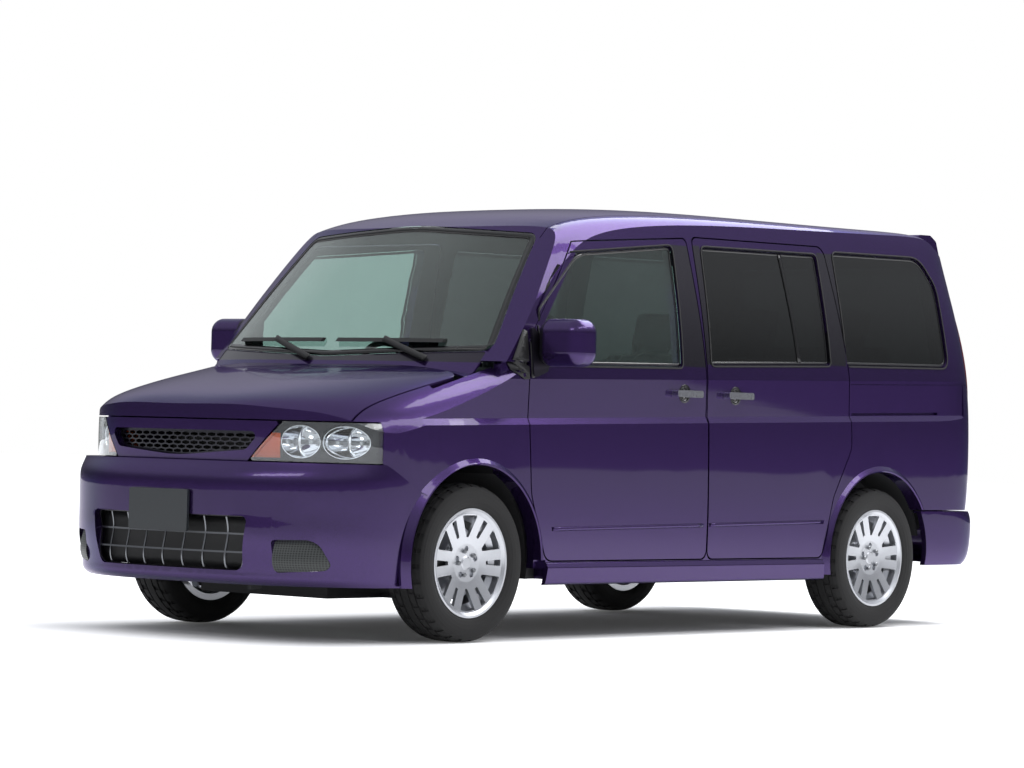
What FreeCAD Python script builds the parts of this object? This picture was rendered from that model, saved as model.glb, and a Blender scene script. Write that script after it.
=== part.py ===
import FreeCAD, Part
import math
import os
from functools import lru_cache

# A seven-seat minivan. Millimetres, origin on the ground under the middle of the car.
# The front faces -Y, the car's left is +X and up is +Z.

V = FreeCAD.Vector

# Driving sizes of the whole car
wheelbase = 2803.0
front_overhang = 950.0
rear_overhang = 907.0
body_width = 1695.0
body_height = 1845.0
track = 1470.0

# Sheet and panel thicknesses
side_wall = 58.0
skin_wall = 22.0
roof_wall = 30.0
glass_wall = 5.0
bumper_wall = 26.0
floor_wall = 30.0

# Gaps between panels, and the clearance at a seat
panel_gap = 6.0
seat_gap = 0.3
glass_setback = 9.0
edge_draft_share = 0.16

# Wheels and brakes
tyre_radius = 320.0
tyre_width = 205.0
rim_radius = 220.5
rim_width = 176.0
rim_wall = 9.0
hub_offset = 45.0
spoke_depth = 17.0
spoke_pairs = 6
lug_count = 5
cap_radius = 29.0
lug_circle_radius = 57.15
lug_hole_radius = 12.0
disc_radius = 148.0
disc_thickness = 22.0
arch_clearance = 75.0
arch_lip_width = 38.0
arch_lip_proud = 15.0

# Steering
kingpin_lean = 14.9
steering_rim_radius = 185.0
steering_rim_thickness = 15.0
column_lean = 24.0

# Heights of the underbody
floor_height = 390.0
load_floor_height = 600.0
sill_height = 250.0

overrun = 400.0
edge_margin = 12.0
door_depth_reach = 300.0

# Sizes that follow from the ones above
half_width = body_width / 2
front_axle_y = front_overhang - (front_overhang + wheelbase + rear_overhang) / 2
rear_axle_y = front_axle_y + wheelbase
half_track = track / 2
arch_radius = tyre_radius + arch_clearance

# Plan outline of the nose and tail, from the middle to the side:
# share of the half width, share of the way back from the tip to the straight side
nose_shares = [(0.0, 0.0), (0.32, 0.008), (0.60, 0.08), (0.86, 0.29), (0.985, 0.47), (1.0, 0.72), (1.0, 1.0)]
bumper_nose_shares = [(0.0, 0.0), (0.32, 0.008), (0.60, 0.07), (0.88, 0.25), (0.99, 0.44), (1.0, 0.72),
                      (1.0, 1.0)]
tail_shares = [(0.0, 0.0), (0.45, 0.004), (0.80, 0.03), (0.98, 0.08), (1.0, 0.30), (1.0, 0.60), (1.0, 1.0)]

# Levels of the body: height, half width, front station, rear station
body_level_shares = [
    (0.108, 0.979, -0.842, 1.768),
    (0.244, 0.996, -0.884, 1.915),
    (0.379, 1.000, -0.905, 1.955),
    (0.488, 0.998, -0.907, 1.957),
    (0.607, 0.985, -0.874, 1.947),
    (0.759, 0.940, -0.789, 1.898),
    (0.921, 0.867, -0.632, 1.826),
    (1.030, 0.806, -0.510, 1.730),
]
front_bumper_level_shares = [
    (0.122, 0.977, -0.925),
    (0.146, 0.986, -0.964),
    (0.201, 0.994, -0.985),
    (0.271, 0.998, -0.989),
    (0.336, 1.000, -0.989),
    (0.351, 1.000, -0.985),
    (0.370, 1.000, -0.964),
    (0.383, 1.000, -0.946),
]
rear_bumper_level_shares = [
    (0.154, 0.982, 1.934),
    (0.173, 0.989, 1.978),
    (0.217, 0.995, 2.000),
    (0.266, 0.998, 1.998),
    (0.290, 0.998, 1.972),
]

# Lines over the car on its middle: station, height, and how much of the cross line's
# sweep back and of its fall applies there
bonnet_line_shares = [
    (-1.050, 0.400, 1.0, 1.0), (-0.985, 0.462, 1.0, 1.0), (-0.914, 0.503, 1.0, 1.0),
    (-0.832, 0.527, 1.0, 1.0), (-0.632, 0.553, 0.85, 1.0), (-0.368, 0.580, 0.6, 1.0),
    (0.0, 0.611, 0.3, 0.8), (0.089, 0.634, 0.15, 0.4), (0.161, 0.653, 0.1, 0.2),
]
screen_line_shares = [
    (-0.211, 0.515, 1.0, 1.0), (0.011, 0.645, 1.0, 1.0), (0.096, 0.789, 1.0, 1.0),
    (0.189, 0.932, 1.0, 1.0), (0.250, 1.019, 1.0, 1.0),
]
roof_line_shares = [
    (-0.40, 0.850, 1.0, 1.0), (-0.05, 0.868, 1.0, 1.0), (0.105, 0.893, 1.0, 1.0),
    (0.178, 0.921, 1.0, 1.0), (0.243, 0.962, 1.0, 1.0),
    (0.339, 0.986, 1.0, 1.0), (0.517, 1.002, 1.0, 1.0), (0.749, 1.004, 1.0, 0.85),
    (0.999, 1.005, 1.0, 0.7), (1.300, 1.006, 1.0, 0.6), (1.500, 1.006, 1.0, 0.6),
    (1.600, 1.003, 1.0, 0.7), (1.700, 0.975, 1.0, 0.9), (1.800, 0.945, 1.0, 1.0),
    (1.950, 0.880, 1.0, 1.0), (2.100, 0.810, 1.0, 1.0),
]

# Lines across the car: share of the half width, sweep back, fall
bonnet_cross_shares = [
    (0.0, 0.0, 0.0), (0.330, 0.0, 0.0), (0.543, 0.063, -0.002), (0.732, 0.168, -0.007),
    (0.873, 0.316, -0.016), (0.956, 0.442, -0.033), (1.003, 0.526, -0.065), (1.060, 0.579, -0.119),
]
screen_cross_shares = [
    (0.0, 0.0, 0.0), (0.354, 0.0, 0.0), (0.614, 0.047, 0.0), (0.826, 0.105, 0.0),
    (0.944, 0.179, 0.0), (1.060, 0.260, 0.0),
]
roof_cross_shares = [
    (0.0, 0.0, 0.0), (0.354, 0.0, -0.001), (0.614, 0.0, -0.008), (0.779, 0.0, -0.018),
    (0.838, 0.0, -0.031), (0.879, 0.0, -0.065), (0.950, 0.0, -0.160), (1.040, 0.0, -0.300),
    (1.200, 0.0, -0.600),
]

# Side outlines: station, height, corner radius as a share of the body height
door_shares = [
    (0.159, 0.176, 0.03), (0.120, 0.325, 0.10), (0.112, 0.488, 0.10), (0.113, 0.748, 0.04),
    (0.221, 0.902, 0.10), (0.524, 0.937, 0.015), (0.534, 0.618, 0.10), (0.542, 0.176, 0.02),
]
door_glass_shares = [
    (0.143, 0.612, 0.010), (0.137, 0.737, 0.02), (0.221, 0.867, 0.08), (0.480, 0.906, 0.015),
    (0.474, 0.622, 0.012),
]
slide_shares = [
    (0.5441, 0.176, 0.02), (0.5361, 0.618, 0.10), (0.5261, 0.940, 0.015), (0.885, 0.947, 0.03),
    (0.912, 0.629, 0.20), (0.917, 0.444, 0.05), (0.870, 0.325, 0.08), (0.844, 0.176, 0.02),
]
slide_glass_shares = [
    (0.548, 0.630, 0.012), (0.554, 0.909, 0.015), (0.857, 0.916, 0.015), (0.861, 0.645, 0.012),
]
quarter_glass_shares = [
    (0.908, 0.647, 0.012), (0.904, 0.925, 0.015), (1.470, 0.931, 0.08), (1.592, 0.860, 0.08),
    (1.618, 0.655, 0.03),
]
# Front view outline of the windscreen
screen_glass_shares = [(-0.903, 0.637, 0.02), (0.0, 0.620, 0.9), (0.903, 0.637, 0.02),
                       (0.755, 0.912, 0.03), (0.0, 0.934, 0.9), (-0.755, 0.912, 0.03)]


screen_foot_share = 0.56
# Front view outline of the black band under the glass
cowl_zone_shares = [(-0.88, 0.585, 0.005), (0.88, 0.585, 0.005), (0.88, 0.636, 0.005), (0.0, 0.620, 0.9),
                    (-0.88, 0.636, 0.005)]

# Plan outline of the bonnet: share of the half width, station, corner radius
bonnet_plan_shares = [
    (-0.835, -1.1, 0.01), (0.835, -1.1, 0.01), (0.851, -0.618, 0.05), (0.885, -0.005, 0.02),
    (0.0, -0.125, 0.9), (-0.885, -0.005, 0.02), (-0.851, -0.618, 0.05),
]
bonnet_edge_share = 0.4735
bonnet_hinge_share = -0.005

# Side outline of a front fender, of a body side and of the roof's plan
fender_shares = [
    (-0.674, 0.612, 0.01), (0.15, 0.612, 0.01), (0.22, 0.45, 0.01), (0.22, 0.179, 0.01),
    (-0.32, 0.179, 0.01), (-0.32, 0.320, 0.01), (-0.53, 0.3855, 0.002), (-0.53, 0.4738, 0.001),
    (-0.674, 0.4738, 0.01),
]
side_shares = [
    (0.0, 0.6155, 0.01), (0.0, 1.04, 0.01), (2.1, 1.04, 0.01), (2.1, 0.2935, 0.01),
    (1.0, 0.2935, 0.01), (1.0, 0.1355, 0.01), (0.159, 0.1355, 0.01), (0.159, 0.20, 0.01),
    (0.24, 0.24, 0.01), (0.24, 0.6155, 0.01),
]
roof_plan_shares = [(-0.775, 0.10, 0.01), (0.775, 0.10, 0.01), (0.775, 1.61, 0.005), (-0.775, 1.61, 0.005)]
roof_base_share = 0.90

# Rear view outline of the tailgate and of its window
tailgate_shares = [
    (-0.770, 0.303, 0.03), (0.770, 0.303, 0.03), (0.826, 0.46, 0.05), (0.790, 0.79, 0.05),
    (0.755, 1.05, 0.01), (-0.755, 1.05, 0.01), (-0.790, 0.79, 0.05), (-0.826, 0.46, 0.05),
]


def sta(share):
    """Place along the car: -1 nose, 0 front axle, 1 rear axle, 2 tail."""
    if share < 0:
        return front_axle_y + share * front_overhang
    if share <= 1:
        return front_axle_y + share * wheelbase
    return rear_axle_y + (share - 1) * rear_overhang


def wid(share):
    return share * half_width


def lev(share):
    return share * body_height


# The shoulder crease: its ends (station, height), its depth along the car, the lit ledge under it,
# the hollow above it, and the slots of the sliding door's rail
crease_ends = ((-0.53, 0.4815), (1.75, 0.5355))
crease_stations = [
    (-0.56, 0.5), (-0.50, 0.7), (-0.43, 0.9), (-0.35, 1.0), (-0.27, 1.0), (-0.18, 1.0), (-0.09, 1.0), (0.0, 1.0),
    (0.5, 1.0), (1.0, 1.0), (1.3, 1.0), (1.5, 1.0), (1.62, 0.9), (1.70, 0.7), (1.76, 0.4),
]
crease_depth = 12.0
ledge_fall = 26.0
hollow_rise = 160.0
rail_ends = (0.920, 1.52)
rail_rise = 3.0
rail_tall = 12.0
rail_depth = 26.0
seam_ends = (0.915, 1.80)
seam_rise = 142.0
seam_tall = 4.0
seam_depth = 5.0

# Further named sizes of the pieces

# Bonnet, cowl and pillars
cowl_drop = 14.0
cowl_wall = 8.0
cowl_gap = 28.0
cowl_half_share = 0.90
cowl_front_share = -0.2
cowl_rear_share = 0.16
screen_zone_front_share = -0.3
screen_zone_rear_share = 0.30
cowl_zone_rear_share = 0.20
ahead_share = -1.2
beyond_share = 2.3
pad_inner_share = 0.3
pillar_wall = 40.0
pillar_width = 52.0
frame_width = 30.0
hinge_height = 80.0
bonnet_hinge_y = sta(bonnet_hinge_share)
overlap = 2.0
pillar_shares = [(0.057, 0.16, 0.01), (0.24, 0.16, 0.01), (0.24, 0.6155, 0.01), (0.057, 0.6155, 0.01)]
hinge_places = [(0.112, 0.32), (0.112, 0.52)]
catch_places = [(0.541, 0.25), (0.537, 0.60), (0.915, 0.56)]

# Fuel lid on the right rear quarter: station, height, corner radius
fuel_lid_shares = [(1.19, 0.415, 0.012), (1.36, 0.415, 0.012), (1.36, 0.495, 0.012), (1.19, 0.495, 0.012)]
lid_wall = 12.0
pocket_depth = 44.0
boss_length = 16.0

# Tailgate: the split across the roof, its hinges, window and spoiler
tail_split_share = 1.61
gate_zone_share = 1.3
pane_zone_share = 1.6
tail_split_y = sta(tail_split_share)
tail_hinge_share = 0.45
tail_window_shares = [(-0.700, 0.640, 0.03), (0.700, 0.640, 0.03), (0.650, 0.915, 0.04),
                      (-0.650, 0.915, 0.04)]
spoiler_shares = [(1.625, 0.960, 0.01), (1.625, 0.9975, 0.01), (1.736, 0.9985, 0.02), (1.790, 0.984, 0.015),
                  (1.826, 0.941, 0.006), (1.800, 0.932, 0.006), (1.700, 0.930, 0.01)]
spoiler_half_share = 0.745
screen_set = 2.0

# Front bumper, intake, fog covers, plate
shelf_depth = 45.0
shelf_wall = 8.0
front_bumper_zone_shares = [(-1.15, 0.05, 0.01), (-1.15, 0.40, 0.01), (-0.55, 0.40, 0.01),
                            (-0.532, 0.3835, 0.01),
                            (-0.30, 0.312, 0.01), (-0.30, 0.05, 0.01)]
intake_shares = [(-0.474, 0.152, 0.02), (0.474, 0.152, 0.02), (0.512, 0.268, 0.012), (-0.512, 0.268, 0.012)]
fog_shares = [(0.625, 0.150, 0.008), (0.848, 0.158, 0.015), (0.801, 0.222, 0.03), (0.622, 0.220, 0.008)]
grille_set = 20.0
grille_wall = 5.0
grille_bar = 7.0
grille_frame = 4.0
intake_columns = 8
intake_rows = 3
fog_set = 8.0
plate_width = 330.0
plate_height = 165.0
plate_thickness = 12.0
plate_bottom = 425.0
plate_corner = 10.0

# Painted frame, honeycomb and headlamps
surround_depth = 60.0
surround_shares = [(-0.430, 0.3832, 0.005), (0.430, 0.3832, 0.005), (0.587, 0.4705, 0.005),
                   (-0.587, 0.4705, 0.005)]
mouth_shares = [(-0.425, 0.408, 0.02), (0.0, 0.392, 0.6), (0.425, 0.408, 0.02), (0.500, 0.448, 0.012),
                (-0.500, 0.448, 0.012)]
mesh_set = 32.0
mesh_rows = 6
mesh_columns = 18
mesh_web = 7.0
lamp_shares = [(0.439, 0.3855, 0.005), (1.02, 0.3855, 0.005), (1.02, 0.4705, 0.005), (0.596, 0.4705, 0.005)]
lamp_end_share = -0.530
lamp_end_y = sta(lamp_end_share)
lens_wall = 4.0
lens_gap = 12.0
lamp_depth = 130.0
grille_back_share = -0.6
fog_back_share = -0.45
plate_share = -1.0
bowl_shares = [(0.655, 0.428, 0.034), (0.815, 0.428, 0.034)]

# Rear bumper and tail lamps
rear_bumper_zone_shares = [(1.0, 0.05, 0.01), (2.2, 0.05, 0.01), (2.2, 0.2905, 0.01), (1.0, 0.2905, 0.01)]
tail_lamp_shares = [(0.845, 0.55, 0.01), (0.98, 0.55, 0.02), (0.91, 0.86, 0.02), (0.80, 0.86, 0.01)]
tail_lamp_side_shares = [(1.90, 0.54, 0.01), (2.1, 0.54, 0.01), (2.1, 0.87, 0.01), (1.805, 0.87, 0.01)]
lamp_proud = 8.0
tail_lamp_front_share = 1.6
bracket_x = 600.0
bracket_width = 60.0
bracket_bottom = 415.0
bracket_tall = 50.0
bracket_share = 1.765

# Skirts, handles, mirrors and wipers
skirt_shares = [(0.94, 0.1730, 0.004), (1.002, 0.1730, 0.003), (1.014, 0.162, 0.005), (1.006, 0.126, 0.006),
                (0.94, 0.118, 0.004)]
skirt_front_share = 0.10
skirt_rear_share = 0.90
handle_front_share = 0.448
handle_slide_share = 0.577
handle_height_share = 0.561
handle_tall = 30.0
handle_length = 178.0
handle_proud = 30.0
handle_bar = 12.0
handle_foot = 28.0
handle_sink = 9.0
cup_radius = 42.0
cup_ball = 62.0
mirror_share = (1.121, 0.149, 0.661)
mirror_width = 235.0
mirror_root_share = 0.93
mirror_depth = 155.0
mirror_tall = 196.0
mirror_round = 58.0
mirror_rim = 14.0
mirror_base = 12.0
mirror_base_shares = [(0.117, 0.580, 0.010), (0.152, 0.598, 0.012), (0.150, 0.660, 0.012),
                      (0.119, 0.700, 0.006)]
wiper_share_pairs = [(-0.72, -0.08), (0.02, 0.66)]
wiper_height_share = 0.655
wiper_blade = 16.0
wiper_lift = 14.0

# Floor, firewall and wheelhouses
floor_half_share = 0.905
fire_share = 0.062
kick_share = 0.865
back_share = 1.86
back_half_share = 0.88
sill_front_share = 0.165
sill_rear_share = 0.835
front_house_end_share = 0.3
rear_house_start_share = 0.7
rear_house_end_share = 1.6
door_room_front_share = 0.108
door_room_rear_share = 0.56
door_room_top_share = 0.95
rail_inner_share = 0.82
sill_top = 318.0
cowl_foot_share = 0.57
house_share = 0.68
front_house_share = 0.50
house_clearance = 4.0
house_wall = 15.0
house_foot = 420.0

# Front frame, engine and subframe
rail_x = 365.0
rail_width = 70.0
rail_bottom = 420.0
rail_height = 85.0
wing_wall = 14.0
wing_top = 760.0
tower_top = 880.0
tower_wall = 22.0
tower_out = 605.0
tower_length = 190.0
support_out = 560.0
support_wall = 30.0
support_top = lev(front_bumper_level_shares[-1][0]) - shelf_wall - seat_gap
frame_front_share = -0.86
wing_front_share = -0.67
beam_out = 480.0
radiator_share = -0.80
radiator_half = 350.0
radiator_depth = 30.0
radiator_bottom = 235.0
tow_wall = 16.0
tow_width = 60.0
tow_bottom = 205.0
tow_radius = 14.0
engine_length = 590.0
engine_front_share = -0.62
engine_rear_share = -0.05
engine_bottom = 330.0
engine_top = 860.0
engine_chamfer = 60.0
subframe_half = 360.0
subframe_front_share = -0.36
subframe_bar = 60.0
subframe_bottom = 160.0
subframe_height = 50.0
ball_height = 185.0
arm_width = 50.0
arm_height = 24.0

# Knuckle, strut, spring and brake
strut_radius = 25.0
strut_foot_z = 470.0
spring_foot_z = 655.0
spring_radius = 56.0
spring_wire = 7.0
spring_turns = 5
hub_inner_x = 648.0
hub_barrel_radius = 38.0
upright_half = 17.0
upright_width = 60.0
hat_depth = 42.0
hat_radius = 76.0
caliper_wall = 26.0
caliper_gap = 5.0
caliper_reach = 152.0
caliper_inner = 96.0
caliper_tall = 92.0

# Rear axle
arm_pivot_share = 0.835
arm_x = 530.0
arm_radius = 28.0
pivot_height = 315.0
beam_share = 0.915
beam_radius = 34.0
beam_height = 292.0
rear_spring_radius = 50.0

# Exhaust and tank
pipe_radius = 25.0
pipe_bend = 110.0
pipe_drop = 62.0
pipe_front_share = 0.03
pipe_x = 130.0
pipe_high = 440.0
silencer_share = 1.36
silencer_width = 380.0
silencer_depth = 210.0
silencer_tall = 130.0
tail_pipe_share = 1.93
pipe_end_height = 330.0
hanger_shares = (0.25, 0.70)
tank_x = 40.0
tank_width = 520.0
tank_share = 0.52
tank_length = 700.0
tank_depth = 150.0
tank_round = 30.0

# Rim and tyre sections
rim_flange = 17.5
rim_drop = 24.0
rim_lip = 4.0
rim_bead = 13.0
spoke_rise = 6.0
face_inset = 9.0
cap_proud = 4.0
window_start = 0.47
window_narrow = 12.0
window_wide = 92.0
slot_start = 0.52
slot_narrow = 15.0
slot_wide = 27.0
corner_small = 6.0
tyre_crown = 6.0

# Seats, dashboard and steering wheel
seat_length = 480.0
cushion_thickness = 150.0
back_thickness = 120.0
back_height = 560.0
back_lean = 14.0
seat_round = 40.0
single_width = 520.0
bench_width = 1180.0
rear_bench_width = 1100.0
rest_width = 250.0
rest_thickness = 90.0
rest_height = 170.0
rest_gap = 25.0
rest_inset = 15.0
post_radius = 7.0
leg_inset = 45.0
pan_wall = 18.0
stand_wall = 36.0
seat_leg = 230.0
rear_leg = 110.0
front_seat_x = 365.0
front_seat_share = 0.37
middle_seat_share = 0.655
rear_seat_share = 0.935
dash_shares = [(0.075, 0.42, 0.02), (0.20, 0.42, 0.03), (0.245, 0.50, 0.03), (0.235, 0.588, 0.03),
               (0.15, 0.605, 0.04), (0.075, 0.60, 0.02)]
dash_half_share = 0.84
dash_clearance = 12.0
wheel_x = -365.0
wheel_share = 0.292
wheel_height_share = 0.573
column_radius = 38.0
column_length = 170.0
hub_depth = 60.0


def box(x0, x1, y0, y1, z0, z1):
    return Part.makeBox(abs(x1 - x0), abs(y1 - y0), abs(z1 - z0), V(min(x0, x1), min(y0, y1), min(z0, z1)))


def rod(start, end, radius):
    return Part.makeCylinder(radius, (end - start).Length, start, end - start)


def fuse_all(shapes):
    shape = shapes[0].multiFuse(shapes[1:]) if len(shapes) > 1 else shapes[0]
    return shape.removeSplitter()


def mirrored(shape):
    return shape.mirror(V(0, 0, 0), V(1, 0, 0))


def both(shape):
    return Part.makeCompound([shape, mirrored(shape)])


def solids_of(shape, least_share=0.01):
    """The real solids of a cut, without slivers."""
    largest = max(s.Volume for s in shape.Solids)
    kept = [s for s in shape.Solids if s.Volume > largest * least_share]
    return kept[0] if len(kept) == 1 else Part.makeCompound(kept)


def rounded_wire(corners):
    """A closed wire of straight edges with a tangent arc at each corner.
    Each corner is a point and the radius wanted there, limited by its edges."""
    count = len(corners)
    edges = []
    ends = []
    for i in range(count):
        here, radius = corners[i]
        before = corners[i - 1][0] - here
        after = corners[(i + 1) % count][0] - here
        half_turn = before.getAngle(after) / 2
        reach = radius / math.tan(half_turn)
        reach = min(reach, before.Length * 0.45, after.Length * 0.45)
        a = V(before)
        b = V(after)
        a.normalize()
        b.normalize()
        start = here + a * reach
        end = here + b * reach
        bisector = a + b
        bisector.normalize()
        to_centre = reach / math.cos(half_turn)
        middle = here + bisector * (to_centre - reach * math.tan(half_turn))
        ends.append((start, middle, end))
    for i in range(count):
        start, middle, end = ends[i]
        edges.append(Part.Arc(start, middle, end).toShape())
        edges.append(Part.LineSegment(end, ends[(i + 1) % count][0]).toShape())
    return Part.Wire(edges)


def inset_points(corners, distance):
    """Moves every edge of a closed outline inwards by a distance; corners are (u, v, radius)."""
    count = len(corners)
    area = sum(corners[i - 1][0] * corners[i][1] - corners[i][0] * corners[i - 1][1] for i in range(count))
    turn = 1 if area > 0 else -1
    lines = []
    for i in range(count):
        u0, v0, _ = corners[i]
        u1, v1, _ = corners[(i + 1) % count]
        length = math.hypot(u1 - u0, v1 - v0)
        nu = -turn * (v1 - v0) / length
        nv = turn * (u1 - u0) / length
        lines.append((nu, nv, nu * u0 + nv * v0 + distance))
    moved = []
    for i in range(count):
        a1, b1, c1 = lines[i - 1]
        a2, b2, c2 = lines[i]
        det = a1 * b2 - a2 * b1
        u = (c1 * b2 - c2 * b1) / det
        v = (a1 * c2 - a2 * c1) / det
        moved.append((u, v, corners[i][2]))
    return moved


def side_corners(shares):
    return [(sta(y), lev(z), lev(r)) for y, z, r in shares]


def side_prism(corners, x0, x1, draft=0.0):
    """A prism along X of a side outline. With a draft it narrows from x1 towards x0."""
    outer = rounded_wire([(V(x1, u, v), r) for u, v, r in corners])
    if not draft:
        return Part.Face(outer).extrude(V(x0 - x1, 0, 0))
    small = inset_points(corners, abs(x1 - x0) * draft)
    inner = rounded_wire([(V(x0, u, v), r) for u, v, r in small])
    return Part.makeLoft([outer, inner], True, True)


def front_prism(corners, y0, y1):
    face = Part.Face(rounded_wire([(V(u, y0, v), r) for u, v, r in corners]))
    return face.extrude(V(0, y1 - y0, 0))


def plan_prism(corners, z0, z1):
    face = Part.Face(rounded_wire([(V(u, v, z0), r) for u, v, r in corners]))
    return face.extrude(V(0, 0, z1 - z0))


def clamped_curve(points):
    curve = Part.BSplineCurve()
    inner = len(points) - 4
    knots = list(range(inner + 2))
    mults = [4] + [1] * inner + [4]
    curve.buildFromPolesMultsKnots(points, mults, knots, False, 3)
    return curve


def end_curve(z, width, tip, side, shares):
    """The plan line round the nose or the tail, from the left side to the right one."""
    half = [V(x * width, tip + (side - tip) * y, z) for x, y in shares]
    return clamped_curve(list(reversed(half)) + [V(-p.x, p.y, p.z) for p in half[1:]])


def plan_wire(z, width, front, rear):
    nose = end_curve(z, width, front, front_axle_y, nose_shares).toShape()
    tail = end_curve(z, width, rear, rear_axle_y, tail_shares).toShape()
    left = Part.LineSegment(V(width, rear_axle_y, z), V(width, front_axle_y, z)).toShape()
    right = Part.LineSegment(V(-width, front_axle_y, z), V(-width, rear_axle_y, z)).toShape()
    return Part.Wire([nose, right, tail, left])


@lru_cache(maxsize=None)
def wrap(inset):
    """The body from the side: plan outlines lofted upwards, inset by a wall."""
    wires = []
    for z, w, f, r in body_level_shares:
        wires.append(plan_wire(lev(z), wid(w) - inset, sta(f) + inset, sta(r) - inset))
    return Part.makeLoft(wires, True, False)


def over(line, cross, drop):
    """A surface swept from a line over the car and a line across it, lowered by a drop."""
    rows = []
    for y, z, back_share, fall_share in line:
        row = [V(wid(x), sta(y) + back * back_share * front_overhang, lev(z) + lev(fall) * fall_share - drop)
               for x, back, fall in cross]
        rows.append([V(-p.x, p.y, p.z) for p in reversed(row[1:])] + row)
    nu = len(rows) - 4
    nv = len(rows[0]) - 4
    surface = Part.BSplineSurface()
    surface.buildFromPolesMultsKnots(rows, [4] + [1] * nu + [4], [4] + [1] * nv + [4],
                                     list(range(nu + 2)), list(range(nv + 2)), False, False, 3, 3)
    return surface.toShape()


@lru_cache(maxsize=None)
def nose_form(inset):
    """Everything under the bonnet surface, inset all round."""
    under = over(bonnet_line_shares, bonnet_cross_shares, inset).extrude(V(0, 0, -body_height))
    return wrap(inset).common(under)


@lru_cache(maxsize=None)
def cabin_form(inset, roof_drop, screen_drop):
    """The body behind the windscreen and under the roof, inset all round."""
    roof = over(roof_line_shares, roof_cross_shares, roof_drop).extrude(V(0, 0, -2 * body_height))
    screen = over(screen_line_shares, screen_cross_shares, screen_drop * math.sqrt(2))
    behind = screen.extrude(V(0, wheelbase + rear_overhang + front_overhang, 0))
    below = box(-body_width, body_width, front_axle_y, sta(beyond_share), 0, lev(screen_foot_share))
    return wrap(inset).common(roof).common(behind.fuse(below))


def bumper_form(levels, inset, at_front):
    """A bumper's outer form or, inset, the space behind it."""
    wires = []
    for z, w, tip in levels:
        end = sta(tip) + inset if at_front else sta(tip) - inset
        side = front_axle_y if at_front else rear_axle_y
        shares = bumper_nose_shares if at_front else tail_shares
        curve = end_curve(lev(z), wid(w) - inset, end, side, shares).toShape()
        a, b = curve.Vertexes[0].Point, curve.Vertexes[-1].Point
        wires.append(Part.Wire([curve, Part.LineSegment(b, a).toShape()]))
    if inset:
        wires[-1].translate(V(0, 0, -shelf_wall))
        lowered = wires[0].copy()
        lowered.translate(V(0, 0, -inset))
        wires = [lowered] + wires
    return Part.makeLoft(wires, True, False)


def wheel_space(axle_y, x0, x1, radius):
    return Part.makeCylinder(radius, x1 - x0, V(x0, axle_y, tyre_radius), V(1, 0, 0))


def save(shape, name):
    shape = solids_of(shape)
    if not shape.isValid():
        print("not valid:", name)
    shape.exportStep("parts/" + name + ".step")
    print(name, len(shape.Solids), round(shape.Volume / 1e6, 2))
    return shape


def left_half(shape):
    return shape.common(box(0, body_width, sta(ahead_share), sta(beyond_share), -overrun,
                            body_height + overrun))


def outset(corners, gap):
    return inset_points(corners, -gap)


def ring_solid(points, axle):
    """Revolves an outline of (distance out from the wheel's middle, radius) about the axle."""
    face = Part.Face(Part.makePolygon([V(x, 0, r) for x, r in points + points[:1]]))
    solid = face.revolve(V(0, 0, 0), V(1, 0, 0), 360)
    solid.translate(axle)
    return solid


def arch_lip(axle_y):
    """The flared lip round a wheel arch on the left side, turned round the axle."""
    root = half_width - skin_wall
    edge = half_width + arch_lip_proud
    outer = arch_radius + arch_lip_width
    fall = arch_lip_width / 4
    profile = [(root, arch_radius), (edge - fall / 2, arch_radius), (edge, arch_radius + fall / 2),
               (edge - fall / 4, arch_radius + fall), (edge - fall * 1.5, arch_radius + fall * 2.6),
               (half_width - fall, outer), (root, outer)]
    ring = ring_solid(profile, V(0, axle_y, tyre_radius))
    return ring.cut(wrap(skin_wall))


def side_reach(y, z):
    """How far the body's side stands from the middle at a place."""
    line = Part.makeLine(V(0, y, z), V(body_width, y, z))
    return wrap(0).common(line).BoundBox.XMax


def crease_height(y):
    """The shoulder crease rises evenly from the lamp to the tail."""
    way = (y - sta(crease_ends[0][0])) / (sta(crease_ends[1][0]) - sta(crease_ends[0][0]))
    return lev(crease_ends[0][1] + (crease_ends[1][1] - crease_ends[0][1]) * way)


def crease_cutter():
    """What the shoulder crease takes off the left side: a lit ledge under a shallow hollow."""
    sections = []
    for share, depth_share in crease_stations:
        y = sta(share)
        z = crease_height(y)
        depth = crease_depth * depth_share
        low = z - ledge_fall * depth_share
        high = z + hollow_rise
        points = [V(side_reach(y, low), y, low), V(side_reach(y, z) - depth, y, z),
                  V(side_reach(y, high), y, high), V(body_width, y, high), V(body_width, y, low)]
        sections.append(Part.makePolygon(points + points[:1]))
    return Part.makeLoft(sections, True, True)


def slot_along(share0, share1, rise, tall, depth):
    """A slot beside the crease on the left side, from one station to another."""
    y0, y1 = sta(share0), sta(share1)
    z0, z1 = crease_height(y0) + rise, crease_height(y1) + rise
    corners = [(y0, z0, panel_gap), (y1, z1, panel_gap), (y1, z1 + tall, panel_gap),
               (y0, z0 + tall, panel_gap)]
    return side_prism(corners, 0, body_width).cut(wrap(depth))


def cup(y):
    """The round hollow behind a handle."""
    z = lev(handle_height_share)
    across = side_reach(y, z) + math.sqrt(cup_ball ** 2 - cup_radius ** 2)
    return Part.makeSphere(cup_ball, V(across, y, z))


# Outlines in the side view that are shared by several panels
door_corners = side_corners(door_shares)
slide_corners = side_corners(slide_shares)
door_tip_x = half_width + edge_margin
door_root_x = half_width - door_depth_reach


def door_prism(corners, gap):
    return side_prism(outset(corners, gap), door_root_x, door_tip_x, edge_draft_share)


# Groups of pieces, each made from the shared forms
def panel_window(shares):
    return side_prism(side_corners(shares), 0, body_width)


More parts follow.
